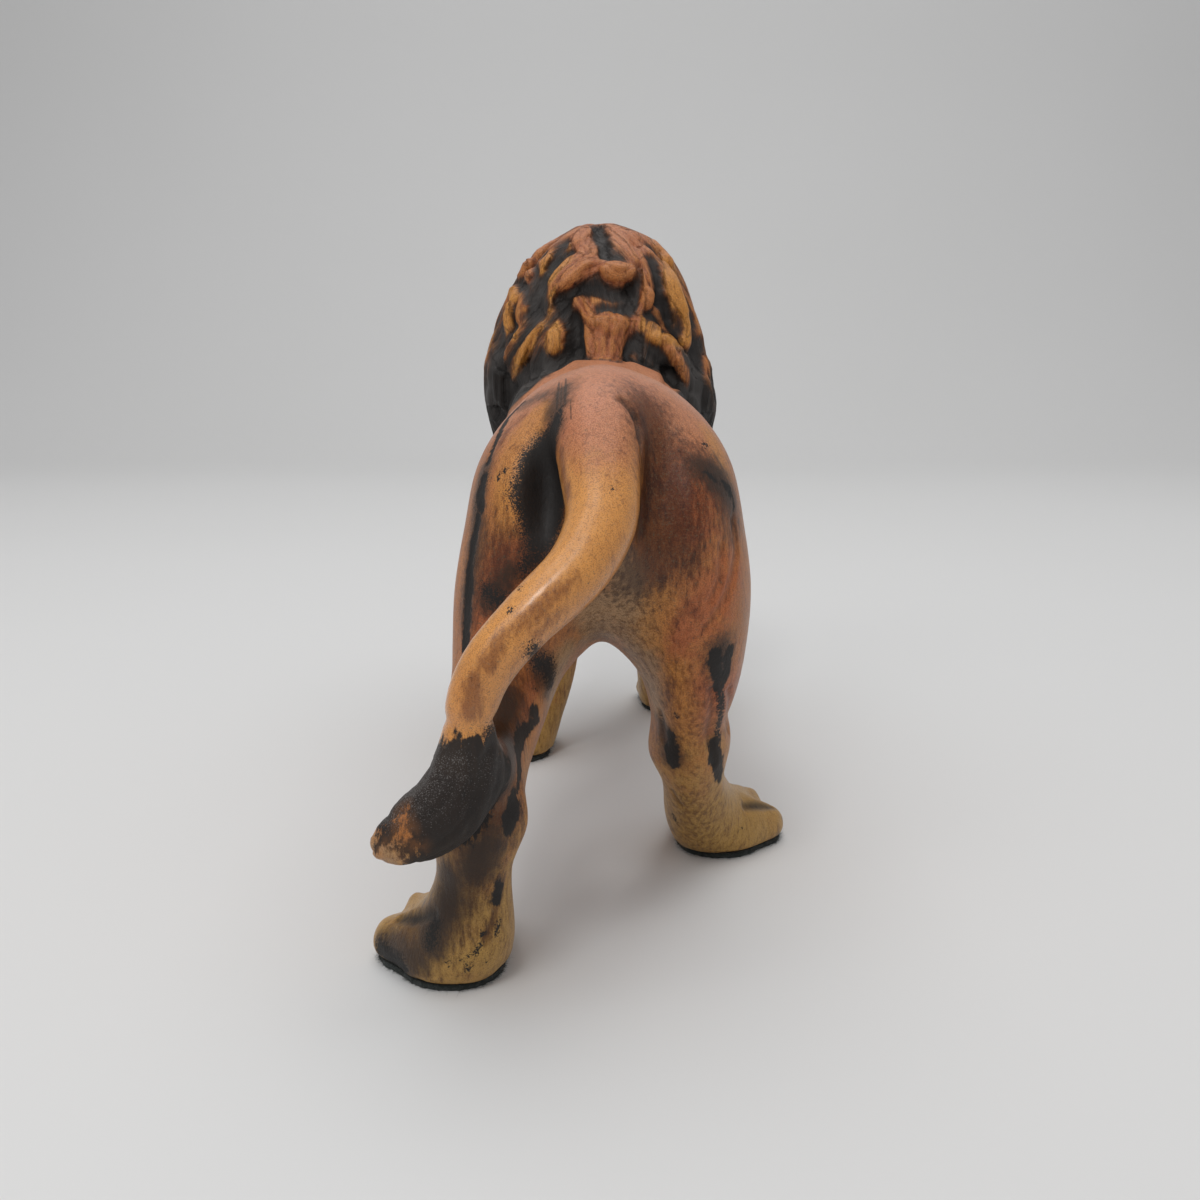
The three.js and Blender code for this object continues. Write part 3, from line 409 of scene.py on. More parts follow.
# Black paint, and where it is rubbed off again.
BLACK_STROKES = {
    "char": (2.2, {  # black from a full brush
        "left of the tail's root": [(560, 412, 0.0), (554, 428, 0.5), (553, 446, 1.0), (553, 466, 1.4),
            (553, 486, 1.6), (553, 506, 1.0)],
        "seam on the left hip": [(524, 402, 0.0), (508, 418, 0.2), (497, 440, 0.1), (488, 462, 0.0)],
        "left hip": [(484, 478, 0.4), (480, 492, 0.8), (482, 508, 0.2)],
        "seam down the left thigh": [(478, 517, 0.0), (474, 540, 0.3), (470, 562, 0.1), (469, 590, 0.4),
            (466, 620, 0.5), (465, 645, 0.3)],
        "right hip, outer": [(722, 482, -0.3), (730, 490, 0.0), (734, 508, -0.3)],
        "right hip, inner": [(706, 474, -0.4), (716, 479, -0.4)],
        "left groin": [(532, 706, 0.0), (536, 711, 0.3)],
        "inside of the left leg": [(538, 719, 0.0), (528, 727, 0.3), (520, 736, 0.8), (518, 752, 0.8),
            (519, 770, 0.8), (518, 784, 0.0)],
        "left hock": [(513, 793, 0.2), (514, 808, 1.1), (511, 820, 1.2), (508, 832, 0.2)],
        "right thigh, first stroke": [(716, 654, 0.7), (715, 668, 0.6), (719, 688, 0.2)],
        "right thigh, second stroke": [(729, 650, 0.7), (727, 668, 0.5), (721, 688, 0.0)],
        "right hock, outer": [(714, 742, 0.3), (716, 755, 1.0), (719, 768, 0.7), (720, 780, 0.0)],
        "right hock, inner": [(670, 734, 0.1), (671, 750, 0.9), (673, 764, 0.4)],
        "left paw": [(378, 950, 0.2), (390, 962, 0.4), (404, 968, 0.0)],
        "left shank": [(499, 884, 0.0), (497, 900, 0.2)],
        "tuft's point": [(384, 838, 0.3), (376, 846, 0.3)],
        "tuft's first tooth": [(452, 752, 0.6), (457, 737, 0.0)],
        "tuft's second tooth": [(466, 752, 0.6), (464, 744, 0.0)],
        "tuft's third tooth": [(478, 752, 0.6), (477, 740, 0.0)],
        "tuft's fourth tooth": [(487, 756, 0.6), (488, 749, 0.0)],
    }),
    "spray": (5.0, {  # black mist
        "left of the tail's root": [(556, 425, 0.2), (551, 446, 1.6), (545, 470, 3.2), (541, 496, 4.0),
            (543, 520, 2.4), (540, 540, 0.6)],
        "left thigh": [(486, 590, -1.2), (500, 600, -0.9)],
        "beside the tail": [(534, 556, -1.0), (524, 568, -1.2)],
        "left hip": [(484, 480, -0.8), (478, 500, -0.8)],
        "left groin": [(546, 664, -0.2), (551, 680, -0.4)],
        "above the left groin": [(532, 650, -0.8), (540, 662, -0.6)],
        "behind the tuft": [(494, 740, 0.8), (494, 764, 0.8), (488, 790, 0.4)],
        "left instep": [(436, 920, -1.2), (430, 942, -0.8)],
        "left paw": [(380, 950, -0.2), (398, 962, -0.2)],
    }),
    "rubbed": (3.0, {  # black rubbed bare
        "tuft's lower side": [(402, 812, 0.3), (404, 836, 0.8)],
        "tuft's middle": [(416, 846, 0.2)],
        "tuft's point": [(384, 852, 0.6), (396, 856, 0.4)],
    }),
    "spatter": (1.5, {  # drops and small runs
        "left hip 1": [(504, 471, 0.3)],
        "left hip 2": [(498, 478, 0.1)],
        "right hip": [(703, 446, 0.0), (707, 443, 0.0)],
        "right shank": [(720, 688, 0.6), (721, 714, 0.5), (719, 742, 0.6)],
        "left heel 1": [(483, 935, 0.1)],
        "left heel 2": [(480, 944, 0.1)],
        "left heel 3": [(477, 952, 0.2)],
        "left heel 4": [(469, 957, 0.0)],
        "left heel 5": [(462, 960, 0.0)],
        "left heel 6": [(449, 963, 0.0)],
        "left heel 7": [(469, 969, 0.2)],
        "left heel 8": [(485, 962, 0.0)],
        "left heel 9": [(500, 920, 0.0), (496, 934, 0.0)],
        "left heel 10": [(506, 906, 0.0)],
        "left thigh 1": [(489, 592, 0.6), (500, 600, 0.8)],
        "beside the tail": [(536, 558, 0.6), (528, 566, 0.4)],
        "left thigh 2": [(520, 588, 0.2)],
        "left thigh 3": [(510, 610, 0.2)],
        "right knee 1": [(676, 716, 0.3)],
        "tail 1": [(598, 484, 0.0)],
        "tail 2": [(612, 488, 0.0)],
        "left groin 1": [(536, 690, 0.2)],
        "left groin 2": [(545, 668, 0.8), (552, 684, 0.4)],
        "left groin 3": [(532, 652, 0.2), (540, 664, 0.4)],
        "right knee 2": [(660, 716, 0.0), (664, 724, 0.0)],
        "right paw": [(742, 830, 0.0)],
        "right heel": [(672, 812, 0.0), (676, 822, 0.0)],
    }),
    "rake": (1.6, {  # dry bristle marks
        "left of the tail's root": [(561, 382, 1.0), (561, 392, 1.6), (563, 404, 1.2)],
        "on the root": [(570, 400, 0.6), (571, 418, 0.3)],
    }),
}

# Thin colour over the ground.
WASH_STROKES = {
    "smoke": (6.0, {  # soft brown-black
        "left of the tail's root": [(562, 392, 0.2), (555, 430, 0.6), (549, 470, 1.2), (546, 510, 1.8),
            (543, 545, 1.0), (534, 566, 0.2)],
        "left thigh": [(512, 570, -0.8), (500, 588, 0.0), (486, 604, -0.4)],
        "seam down the left flank": [(484, 470, 0.4), (474, 550, 0.2), (466, 620, 0.4)],
        "behind the tuft": [(506, 700, 0.6), (506, 740, 1.0), (504, 790, 0.4)],
        "left shank": [(490, 846, 1.0), (478, 866, 1.0)],
        "left instep": [(448, 880, 0.2), (448, 900, 0.4), (438, 922, 0.6), (430, 944, 0.8)],
        "left paw": [(384, 948, 0.8), (400, 958, 1.0), (416, 960, 0.4)],
        "right hip": [(701, 466, 0.1), (716, 477, 1.2), (728, 492, 0.8)],
        "right thigh": [(722, 650, 0.8), (720, 672, 0.2)],
        "right hock": [(664, 730, 0.1), (670, 756, 0.6)],
        "loin": [(556, 392, -1.4), (524, 404, -1.6)],
        "left groin": [(540, 668, 0.4), (548, 684, 0.2)],
    }),
    "smear": (2.4, {  # thin brown wiped over the colour
        "tail, upper streak": [(576, 578, -0.4), (552, 600, -0.2), (530, 624, -0.4)],
        "tail, middle streak": [(554, 588, -0.4), (538, 604, -0.2), (518, 628, -0.4)],
        "tail, lower streak": [(560, 612, -0.4), (536, 636, -0.4)],
        "tail's outer bend": [(506, 630, -0.2), (488, 664, 0.6)],
        "above the tuft": [(476, 676, 0.0), (472, 692, 0.5), (470, 712, 0.7)],
        "tail's left edge": [(561, 452, 0.0), (563, 474, 0.0), (568, 496, 0.0)],
        "left hip, upper": [(509, 428, -0.6), (524, 416, -0.3)],
        "left hip, lower": [(498, 448, 0.0), (508, 430, 0.0)],
        "right of the tail": [(640, 412, 0.2), (646, 440, 0.6), (646, 480, 0.6), (642, 530, 0.2)],
        "right thigh, first fold": [(690, 602, -0.6), (676, 622, -0.5)],
        "right thigh, second fold": [(702, 594, -0.6), (690, 616, -0.6)],
        "right knee": [(672, 676, -0.4), (666, 700, -0.2)],
        "right heel": [(664, 806, -0.4), (672, 830, -0.2)],
        "left instep": [(448, 872, 0.3), (450, 900, 0.4), (436, 930, 0.4)],
        "under the tuft": [(478, 862, 0.8), (474, 880, 0.3)],
        "left heel": [(502, 880, 0.1), (496, 910, 0.1), (486, 940, 0.0)],
        "behind the tuft": [(508, 740, 0.2), (506, 770, 0.3)],
        "left shank": [(480, 850, 0.4), (500, 846, 0.2)],
    }),
    "shade": (11.0, {  # broad soft shade
        "right of the tail": [(646, 410, 1.0), (652, 450, 2.5), (664, 500, 4.5), (660, 540, 4.0),
            (640, 575, 1.5)],
        "left thigh": [(503, 545, -1.0), (492, 590, -1.4)],
        "behind the tuft": [(508, 700, 1.0), (506, 760, 1.5), (500, 820, 1.0)],
        "left shank and paw": [(476, 860, 1.0), (446, 910, 0.8), (400, 950, 1.4)],
        "right hip": [(714, 480, 0.5), (732, 510, 0.5)],
    }),
    "rust": (9.0, {  # sprayed rust
        "loin": [(600, 377, 2.0), (630, 382, 2.0)],
        "left thigh": [(520, 560, 1.0), (500, 590, 2.0), (478, 620, 1.0)],
        "right thigh's fold": [(728, 575, 1.0), (712, 606, 1.5), (690, 628, 1.0), (668, 640, 0.4)],
        "right rump": [(690, 470, 1.0), (700, 520, 1.0)],
        "right shank": [(733, 690, 0.6), (732, 735, 0.6), (706, 690, 0.3)],
        "tail's outer bend": [(452, 620, 0.4), (446, 700, 0.4)],
        "left groin": [(538, 690, 0.4), (532, 716, 0.4)],
        "beside the tail's root": [(572, 420, 0.6), (590, 400, 1.2)],
        "right shin": [(706, 700, -2.0), (707, 740, -2.0)],
    }),
    "gold": (5.0, {  # sprayed gold
        "left groin": [(548, 690, 0.4), (534, 726, 0.6), (526, 768, 0.4)],
        "left rump": [(540, 415, 1.0), (522, 440, 2.0), (510, 480, 2.0), (508, 520, 1.0)],
        "right hip": [(714, 440, 1.0), (724, 470, 0.8)],
        "right paw": [(690, 812, 0.8), (720, 840, 1.6), (760, 836, 1.2)],
        "left heel": [(470, 962, 0.6), (500, 945, 0.8), (508, 925, 0.4)],
        "right groin": [(660, 600, 0.8), (652, 640, 0.8)],
        "left shank": [(448, 850, 0.8), (500, 850, 0.4)],
        "right knee": [(676, 672, 0.6), (680, 700, 1.0), (684, 740, 0.6)],
    }),
    "pale": (6.0, {  # bare pale clay
        "right groin": [(622, 570, 1.0), (626, 600, 2.0), (632, 630, 2.5), (650, 680, 1.8),
            (658, 710, 0.8)],
        "under the tail": [(598, 600, 2.0), (602, 632, 2.0)],
        "left groin": [(565, 655, 1.0), (552, 690, 0.6)],
        "tuft's point": [(374, 846, -1.6), (388, 854, -1.2), (404, 858, -2.0)],
    }),
}

# Cuts in the clay, made before it was fired.
CUT_STROKES = {
    "crease": (1.4, {  # between the toes and at the tail
        "between the left toes": [(399, 918, 0.3), (414, 918, 0.7), (433, 914, 0.3)],
        "between the right toes": [(745, 806, 0.2), (760, 805, 0.5), (773, 806, 0.2)],
        "tail's root": [(622, 400, 0.0), (632, 410, 0.3), (638, 424, 0.3), (640, 440, 0.0)],
    }),
    "scratch": (0.8, {  # fine scratches
        "right heel": [(672, 790, 0.1), (682, 806, 0.1)],
        "left heel": [(494, 918, 0.1), (484, 940, 0.1)],
        "right of the tail": [(638, 416, 0.1), (641, 452, 0.2), (641, 500, 0.2), (638, 540, 0.1)],
    }),
    "fold": (1.5, {  # folds over the muscles
        "right thigh, outer": [(733, 520, 0.2), (737, 550, 0.4), (732, 580, 0.5), (722, 606, 0.4),
            (706, 628, 0.2)],
        "right thigh, inner": [(722, 545, 0.1), (722, 575, 0.3), (712, 600, 0.2)],
        "right hock, inner": [(712, 690, 0.1), (709, 730, 0.3), (714, 765, 0.2)],
        "right hock, outer": [(729, 690, 0.1), (729, 730, 0.3), (728, 760, 0.2)],
        "right knee": [(660, 712, 0.1), (664, 740, 0.3)],
        "left shank": [(490, 750, 0.2), (480, 772, 0.5), (472, 800, 0.6), (470, 832, 0.3)],
    }),
}

lion_skin = BVHTree.FromObject(lion, bpy.context.evaluated_depsgraph_get())


def on_lion(pixels):
    """Where a stroke falls on the lion: rows of (x, y, z, half width)."""
    forward = Vector((0, -math.cos(PITCH), -math.sin(PITCH)))
    upward = Vector((0, -math.sin(PITCH), math.cos(PITCH)))
    centre = PICTURE / 2
    focal_px = PICTURE * FOCAL_LENGTH / FILM_WIDTH
    found = []
    for across_px, down_px, half_width in pixels:
        ray = (forward + Vector((-1, 0, 0)) * ((across_px - centre) / focal_px)
               + upward * ((centre - down_px) / focal_px))
        hit = lion_skin.ray_cast(CAMERA_AT, ray.normalized())[0]
        if hit:
            found.append((*(1000 * np.array(hit) - LION_AT), half_width))
    return np.array(found)


def near_stroke(place, stroke, soft):
    """1 inside the stroke, falling evenly to 0 at `soft` millimetres outside it."""
    mask = np.zeros(len(place))
    reach = stroke[:, 3].max() + soft
    low, high = stroke[:, :3].min(0) - reach, stroke[:, :3].max(0) + reach
    near = np.flatnonzero(((place > low) & (place < high)).all(1))
    if len(stroke) == 1:
        gap = np.linalg.norm(place[near] - stroke[0, :3], axis=1) - stroke[0, 3]
    else:
        start, chord = stroke[:-1, :3], np.diff(stroke[:, :3], axis=0)
        offset = place[near][:, None] - start
        t = np.clip((offset * chord).sum(2) / ((chord**2).sum(1) + 1e-9), 0, 1)
        wide = stroke[:-1, 3] + t * np.diff(stroke[:, 3])
        gap = (np.linalg.norm(offset - t[..., None] * chord, axis=2) - wide).min(1)
    mask[near] = 1 - np.clip(gap / soft, 0, 1)
    return mask


strokes = {}
for group in (HAIR_STROKES, BLACK_STROKES, WASH_STROKES, CUT_STROKES):
    for kind, (soft, rows) in group.items():
        strokes[kind] = (soft, [row for row in map(on_lion, rows.values()) if len(row)])


def painted(place, kind):
    """How strongly each corner lies in one kind of stroke."""
    soft, rows = strokes[kind]
    return np.maximum.reduce([near_stroke(place, row, soft) for row in rows])


SEEN_LOCKS = ("gold_hair", "copper_hair")
for kind in SEEN_LOCKS:
    for row in strokes[kind][1]:
        if len(row) > 1:
            run = row[-1] - row[0]
            body = row[:, 3] + 1.5 * np.sin(math.pi * np.linspace(0.12, 0.95, len(row))) ** 0.5
            locks.append((np.column_stack([row[:, :3], body, body]), np.array((run[2], 0, -run[0])), kind))


# Carving: the clay is calmed on the body and kept lively in the hair, and a comb is drawn along
# each lock for its strands and between the locks for their furrows.
CALMING_ROUNDS = 26
COMB_REACH = 9.0
STRAND_WIDTH = 2.4
STRAND_DEPTH = 0.42
SEEN_STRAND_EXTRA = 0.28
FURROW_DEPTH = 0.7
PROUD_SHARE = 0.08


def along_line(points, steps=4):
    """A smooth line that passes through the points."""
    padded = np.vstack([2 * points[0] - points[1], points, 2 * points[-1] - points[-2]])
    t = np.linspace(0, 1, steps, endpoint=False)[:, None]
    runs = []
    for a, b, c, d in zip(padded, padded[1:], padded[2:], padded[3:]):
        runs.append(0.5 * (2 * b + (c - a) * t + (2 * a - 5 * b + 4 * c - d) * t**2
                           + (3 * b - a - 3 * c + d) * t**3))
    return np.vstack([*runs, points[-1:]])


def comb(place):
    """For each corner, the nearest lock: how far outside it, how far across and along it, how near
    its edge, and its number."""
    outside = np.full(len(place), COMB_REACH)
    across_mm, along_mm, edge = np.zeros(len(place)), np.zeros(len(place)), np.zeros(len(place))
    number = np.full(len(place), -1)
    for n, (stations, across, _) in enumerate(locks):
        line = along_line(stations)
        low, high = line[:, :3].min(0) - COMB_REACH, line[:, :3].max(0) + COMB_REACH
        near = np.flatnonzero(((place > low) & (place < high)).all(1))
        if not len(near):
            continue
        start, chord = line[:-1, :3], np.diff(line[:, :3], axis=0)
        length = np.linalg.norm(chord, axis=1)
        tangent = chord / length[:, None]
        offset = place[near][:, None] - start
        t = np.clip((offset * chord).sum(2) / length**2, 0, 1)
        offset = offset - t[..., None] * chord
        side = across - (tangent @ across)[:, None] * tangent
        side /= np.linalg.norm(side, axis=1)[:, None]
        up = np.cross(tangent, side)
        a = line[:-1, 3] + t * np.diff(line[:, 3])
        b = line[:-1, 4] + t * np.diff(line[:, 4])
        u, v, w = (offset * side).sum(2), (offset * up).sum(2), (offset * tangent).sum(2)
        gap = (np.sqrt((u / a) ** 2 + (v / b) ** 2 + (2 * w / (a + b)) ** 2) - 1) * np.minimum(a, b)
        best = gap.argmin(1)
        pick = (np.arange(len(near)), best)
        better = gap[pick] < outside[near]
        chosen = near[better]
        upstream = np.concatenate([[0], np.cumsum(length)[:-1]])
        outside[chosen] = gap[pick][better]
        across_mm[chosen] = u[pick][better]
        along_mm[chosen] = (upstream[best] + t[pick] * length[best])[better]
        edge[chosen] = np.abs(u / a)[pick][better]
        number[chosen] = n
    return outside, across_mm, along_mm, edge, number


smooth = smoother(lion.data)
place, facing = corners_of(lion.data)
outside, across, along, edge, number = comb(place)
mane = 1 - ramp(outside, 1.2, 3.5)
head = ramp(place[:, 2], 104, 110) * ramp(-place[:, 1], 94, 99)
toes = 1 - ramp(place[:, 2], 9, 14)
calm = place
for _ in range(CALMING_ROUNDS):
    calm = smooth(smooth(calm, 1, 0.6), 1, -0.62)
lively = np.maximum(np.maximum(mane * 0.85, head * 0.75), toes * 0.6)
place = calm + lively[:, None] * (place - calm)
place = smooth(place, 2)

relief = ((place - smooth(place, 16)) * facing).sum(1)
kinds = np.array([kind for _, _, kind in locks])
seen = np.isin(kinds, SEEN_LOCKS)
wobble = 1.3 * np.sin(along / 5.5 + 2.1 * number) + number
strand = (0.5 - 0.5 * np.cos(2 * math.pi * across / STRAND_WIDTH + wobble)) ** 2
strand *= ramp(np.sin(along / 3.7 + 1.3 * across + 5 * number), -1.2, 0.4)
strand_depth = STRAND_DEPTH + SEEN_STRAND_EXTRA * seen[number]
on_lock = (1 - ramp(outside, 0.0, 1.0)) * (number >= 0)
lift = 0.5 * mane * relief - strand_depth * strand * on_lock - FURROW_DEPTH * mane * ramp(outside, 0.3, 1.8)
proud = np.array([PROUD_SHARE * stations[:, 3].mean() for stations, _, _ in locks]) * seen
lift += proud[number] * np.clip(1 - edge**2, 0, 1) * on_lock

# The face: rims round the eyes and pits for the whiskers. Its nose, mouth and brows are already in
# the casting.
EYE_OUT = 9.8
EYE_HEIGHT = 138
EYE_HALF_WIDTH = 3.3
UPPER_LID, LOWER_LID = 1.5, 1.9
EYEBALL_HEIGHT, EYE_GROOVE_DEPTH, LID_HEIGHT = 0.5, 0.55, 0.45
WHISKER_PIT_DEPTH = 0.3


def around_eye(place, side):
    """How far each corner lies across and above one eye, in rings round it, and on the face."""
    dx = (place[:, 0] - side * EYE_OUT) + 0.25 * side * (place[:, 1] + 106)
    dz = place[:, 2] - EYE_HEIGHT - 0.12 * side * dx
    ring = np.hypot(dx / EYE_HALF_WIDTH, dz / np.where(dz > 0, UPPER_LID, LOWER_LID))
    return dx, dz, ring, ramp(-place[:, 1], 98, 101)


for side in (1, -1):
    dx, dz, ring, front = around_eye(place, side)
    ball = EYEBALL_HEIGHT * np.clip(1 - ring**2, 0, 1)
    groove = EYE_GROOVE_DEPTH * np.exp(-((ring - 1.08) / 0.14) ** 2)
    lid = LID_HEIGHT * np.exp(-((ring - 1.42) / 0.2) ** 2) * ramp(dz, -0.5, 1)
    lift += front * (ball - groove + lid)
    for row in range(3):
        for n in range(4):
            pit = np.array((side * (3.4 + 2.1 * n), -122.6 + 0.55 * n * n, 127 - 2.3 * row - 0.35 * n))
            lift -= WHISKER_PIT_DEPTH * np.exp(-((place - pit) ** 2).sum(1) / 0.5)
place = place + lift[:, None] * facing
place = smooth(place, 1, 0.3)
move_corners(lion.data, place)

# The hollows of the mane sink and its lobes rise where their strokes lie, and folds, creases,
# scratches and the mould's seam are cut in.
LOBE_HEIGHT = 1.3
HOLLOW_DEPTH = 1.5
CREASE_DEPTH, FOLD_DEPTH, SCRATCH_DEPTH, SEAM_DEPTH = 0.7, 0.5, 0.25, 0.25
facing = corners_of(lion.data)[1]
blurred = smooth(facing, 10)
blurred /= np.linalg.norm(blurred, axis=1)[:, None]
sunk = smooth(ramp(painted(place, "hollow_hair"), 0, 1), 2) * ramp(-place[:, 1], 25, 35)
raised = smooth(ramp(painted(place, "lobe"), 0, 1), 3) * ramp(-place[:, 1], 25, 35)
sunk *= 1 - 0.7 * np.maximum(on_lock * seen[number], raised)
place = place + (LOBE_HEIGHT * raised - HOLLOW_DEPTH * sunk)[:, None] * blurred
seam = ramp(painted(place, "char"), 0.3, 1.0) * ramp(place[:, 0], 18, 24)
cuts = SCRATCH_DEPTH * painted(place, "scratch") + FOLD_DEPTH * ramp(painted(place, "fold"), 0, 1)
cuts += CREASE_DEPTH * painted(place, "crease")
place = place - (cuts + SEAM_DEPTH * seam)[:, None] * facing
move_corners(lion.data, place)

MOST_TRIANGLES = 196000
thinner = lion.modifiers.new("thinner", "DECIMATE")
thinner.ratio = min(1, MOST_TRIANGLES / sum(len(face.vertices) - 2 for face in lion.data.polygons))
bpy.ops.object.modifier_apply(modifier="thinner")
bpy.ops.object.shade_smooth()
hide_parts("lion")
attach(lion, "root")


# What the painter sees on the fired casting, noted on its corners: ridges and hollows, the way the
# hair runs, which way the surface faces, and where each stroke of the brush goes.
smooth = smoother(lion.data)
place, facing = corners_of(lion.data)
outside, across, along, edge, number = comb(place)
fine = ((smooth(place, 6) - place) * facing).sum(1)
broad = ((smooth(place, 60) - place) * facing).sum(1)
hollow = np.clip(ramp(fine, 0.015, 0.12) + 0.7 * ramp(broad, 0.1, 1.0), 0, 1)
ridge = np.clip(ramp(-fine, 0.02, 0.14) + 0.6 * ramp(-broad, 0.2, 1.1), 0, 1)

# Soot lies in the mane's furrows, low down and at its edges, and round the locks seen from behind.
in_locks = (1 - ramp(outside, 0.8, 2.0)) * (kinds[number] != "tuft")
nape = painted(place, "nape") * ramp(-place[:, 1], 20, 30)
mane = np.maximum(in_locks, nape)
low_and_out = ramp(128 - place[:, 2] + 0.5 * np.abs(place[:, 0]), 10, 50)
behind = ramp(facing[:, 1], -0.6, 0.0) * ramp(-place[:, 1], 20, 30)
flank = ramp(np.abs(place[:, 0]), 22, 31) * ramp(124 - place[:, 2], 0, 18)
gold_hair, copper_hair = painted(place, "gold_hair"), painted(place, "copper_hair")
lit = np.maximum(gold_hair, copper_hair)
soot = (0.7 * hollow + 0.45 * ramp(edge, 0.4, 0.95) * ~seen[number] + 0.5 * ramp(outside, 0.1, 0.9)
        + 0.4 * low_and_out - 0.3 * ridge)
soot += nape * (1 - lit)
soot += behind * (0.24 + 0.3 * flank - 0.85 * lit + 0.6 * painted(place, "hollow_hair") * (1 - 0.7 * lit))

# A lock is anything from copper, 0, to gold, 1.
gold_share = np.array([0.5 + 0.5 * scatter(n + 77) for n in range(len(locks))])
gold_share[np.isin(kinds, ("back", "column"))] = 0.35
gold_share[kinds == "gold_hair"] = 0.85
gold_share[kinds == "copper_hair"] = 0.1
gold_lock = gold_share[number] * (number >= 0)
gold_lock += behind * 0.8 * (gold_hair - copper_hair)

# The tail's honey coat ends above the tuft, whose black has a ragged upper edge and a bare point.
TAIL = np.array([
    (0.3, 84, 103, 7), (0.2, 89, 98.5, 8.4), (-0.3, 97, 89.5, 7.4), (4, 104, 81.5, 6.8),
    (12, 109.5, 74.5, 6.2), (19, 112.5, 67, 5.9), (22.4, 113.5, 60, 5.6), (23.2, 113.5, 50, 5.2)])
TUFT = np.array([(23.1, 113.4, 45.8, 6.0), (24.4, 113.8, 45, 7.8), (27.2, 114.3, 41, 8.0),
                 (31.5, 115.4, 37.6, 5.8)])
TUFT_POINT_X, TUFT_POINT_Z = 38, 32
around = np.arctan2(place[:, 0] - TUFT[0, 0], place[:, 1] - TUFT[0, 1])
zigzag = np.abs((around * 1.6 / math.pi * 2 + 0.35) % 1 - 0.5) * ramp(place[:, 2], 42, 46)
tip = np.hypot(place[:, 0] - TUFT_POINT_X, place[:, 2] - TUFT_POINT_Z) + 0.6 * (place[:, 2] - 34)
tufted = near_stroke(place + np.outer(2.6 * zigzag, (0, 0, 1)), TUFT, 4) * ramp(tip, -0.8, 2.6)

notes = {
    kind: painted(place, kind)
    for kind in ("smoke", "spatter", "spray", "smear", "crease", "shade", "rake", "rubbed", "rust", "gold",
                 "pale")}
notes["mane"] = mane
notes["soot"] = smooth(np.clip(soot, -0.2, 1.1), 9) * mane
notes["gold_lock"] = np.clip(gold_lock, 0, 1)
notes["hollow"] = smooth(hollow, 2)
notes["ridge"] = smooth(ridge, 1)
notes["upward"] = smooth(facing[:, 2], 12)
notes["tail"] = near_stroke(place, TAIL, 2.5) * ramp(107 - place[:, 2], 0, 16)
notes["tuft"] = near_stroke(place, TUFT, 4)
notes["char"] = np.maximum(painted(place, "char"), tufted) * (1 - 0.45 * notes["rubbed"])
notes["scratch"] = np.maximum(painted(place, "scratch"), 0.4 * ramp(painted(place, "fold"), 0.4, 1))

# The face's own colours: dark lines round the eyes, mouth and nose, amber eyes.
eyes = np.zeros(len(place))
lines = np.zeros(len(place))
for side in (1, -1):
    dx, dz, ring, front = around_eye(place, side)
    eyes = np.maximum(eyes, front * (1 - ramp(ring, 0.75, 0.95)))
    lines = np.maximum(lines, front * np.exp(-((ring - 1.1) / 0.22) ** 2) * (0.6 + 0.4 * (dz > 0)))
    lines = np.maximum(lines, front * (1 - ramp(np.hypot(dx, dz), 0.9, 1.5)))
    mouth = np.array([(0, -124.5, 127, 0.4), (0, -123.5, 120.5, 0.6), (side * 6, -121.5, 117.4, 0.7),
                      (side * 11.5, -113, 119, 0.6)])
    lines = np.maximum(lines, near_stroke(place, mouth, 0.9))
NOSE_PAD = np.array([(-3.6, -123, 130.8, 2.4), (3.6, -123, 130.8, 2.4)])
NOSE_CLEFT = np.array([(0, -124.5, 129.5, 1.2), (0, -124.5, 126.5, 0.8)])
notes["face_eye"] = eyes
notes["face_line"] = lines
notes["face_nose"] = np.maximum(near_stroke(place, NOSE_PAD, 0.8), near_stroke(place, NOSE_CLEFT, 0.8))


def write(mesh, name, values, kind="FLOAT"):
    layer = mesh.attributes.new(name, kind, "POINT")
    numbers = np.ascontiguousarray(values, dtype=np.float32).ravel()
    layer.data.foreach_set("value" if kind == "FLOAT" else "vector", numbers)


for name, values in notes.items():
    write(lion.data, name, values)
write(lion.data, "comb", np.stack([across, 0.16 * along, 3.7 * number], 1), "FLOAT_VECTOR")


# The paint: ochre-brown bisque sprayed with rust on the back and olive on the paws, charcoal
# brushed into the hollows and wiped off the ridges, all of it matt with a slight satin. A dry brush
# leaves a ragged edge: the mask of a stroke is broken up by a grain before it covers.
dry_brush = bpy.data.node_groups.new("dry_brush", "ShaderNodeTree")
for name, default in (("Mask", 0.0), ("Grain", 0.5), ("Raggedness", 0.8), ("Softness", 0.25)):
    inlet = dry_brush.interface.new_socket(name, in_out="INPUT", socket_type="NodeSocketFloat")
    inlet.default_value = default
dry_brush.interface.new_socket("Cover", in_out="OUTPUT", socket_type="NodeSocketFloat")


def maths(tree, operation, *values):
    return add(tree, "ShaderNodeMath", dict(enumerate(values)), operation=operation).outputs[0]


given = add(dry_brush, "NodeGroupInput").outputs
centred = maths(dry_brush, "SUBTRACT", given["Grain"], 0.5)
ragged = maths(dry_brush, "MULTIPLY_ADD", centred, given["Raggedness"], given["Mask"])
low = maths(dry_brush, "SUBTRACT", 0.5, given["Softness"])
high = maths(dry_brush, "ADD", 0.5, given["Softness"])
covering = add(dry_brush, "ShaderNodeMapRange", {"Value": ragged, "From Min": low, "From Max": high},
               interpolation_type="SMOOTHSTEP").outputs["Result"]
add(dry_brush, "NodeGroupOutput", {"Cover": covering})

bisque = bpy.data.materials.new("painted_bisque")
bisque.use_nodes = True
paint = bisque.node_tree
shader = paint.nodes["Principled BSDF"]
where = add(paint, "ShaderNodeTexCoord").outputs["Object"]


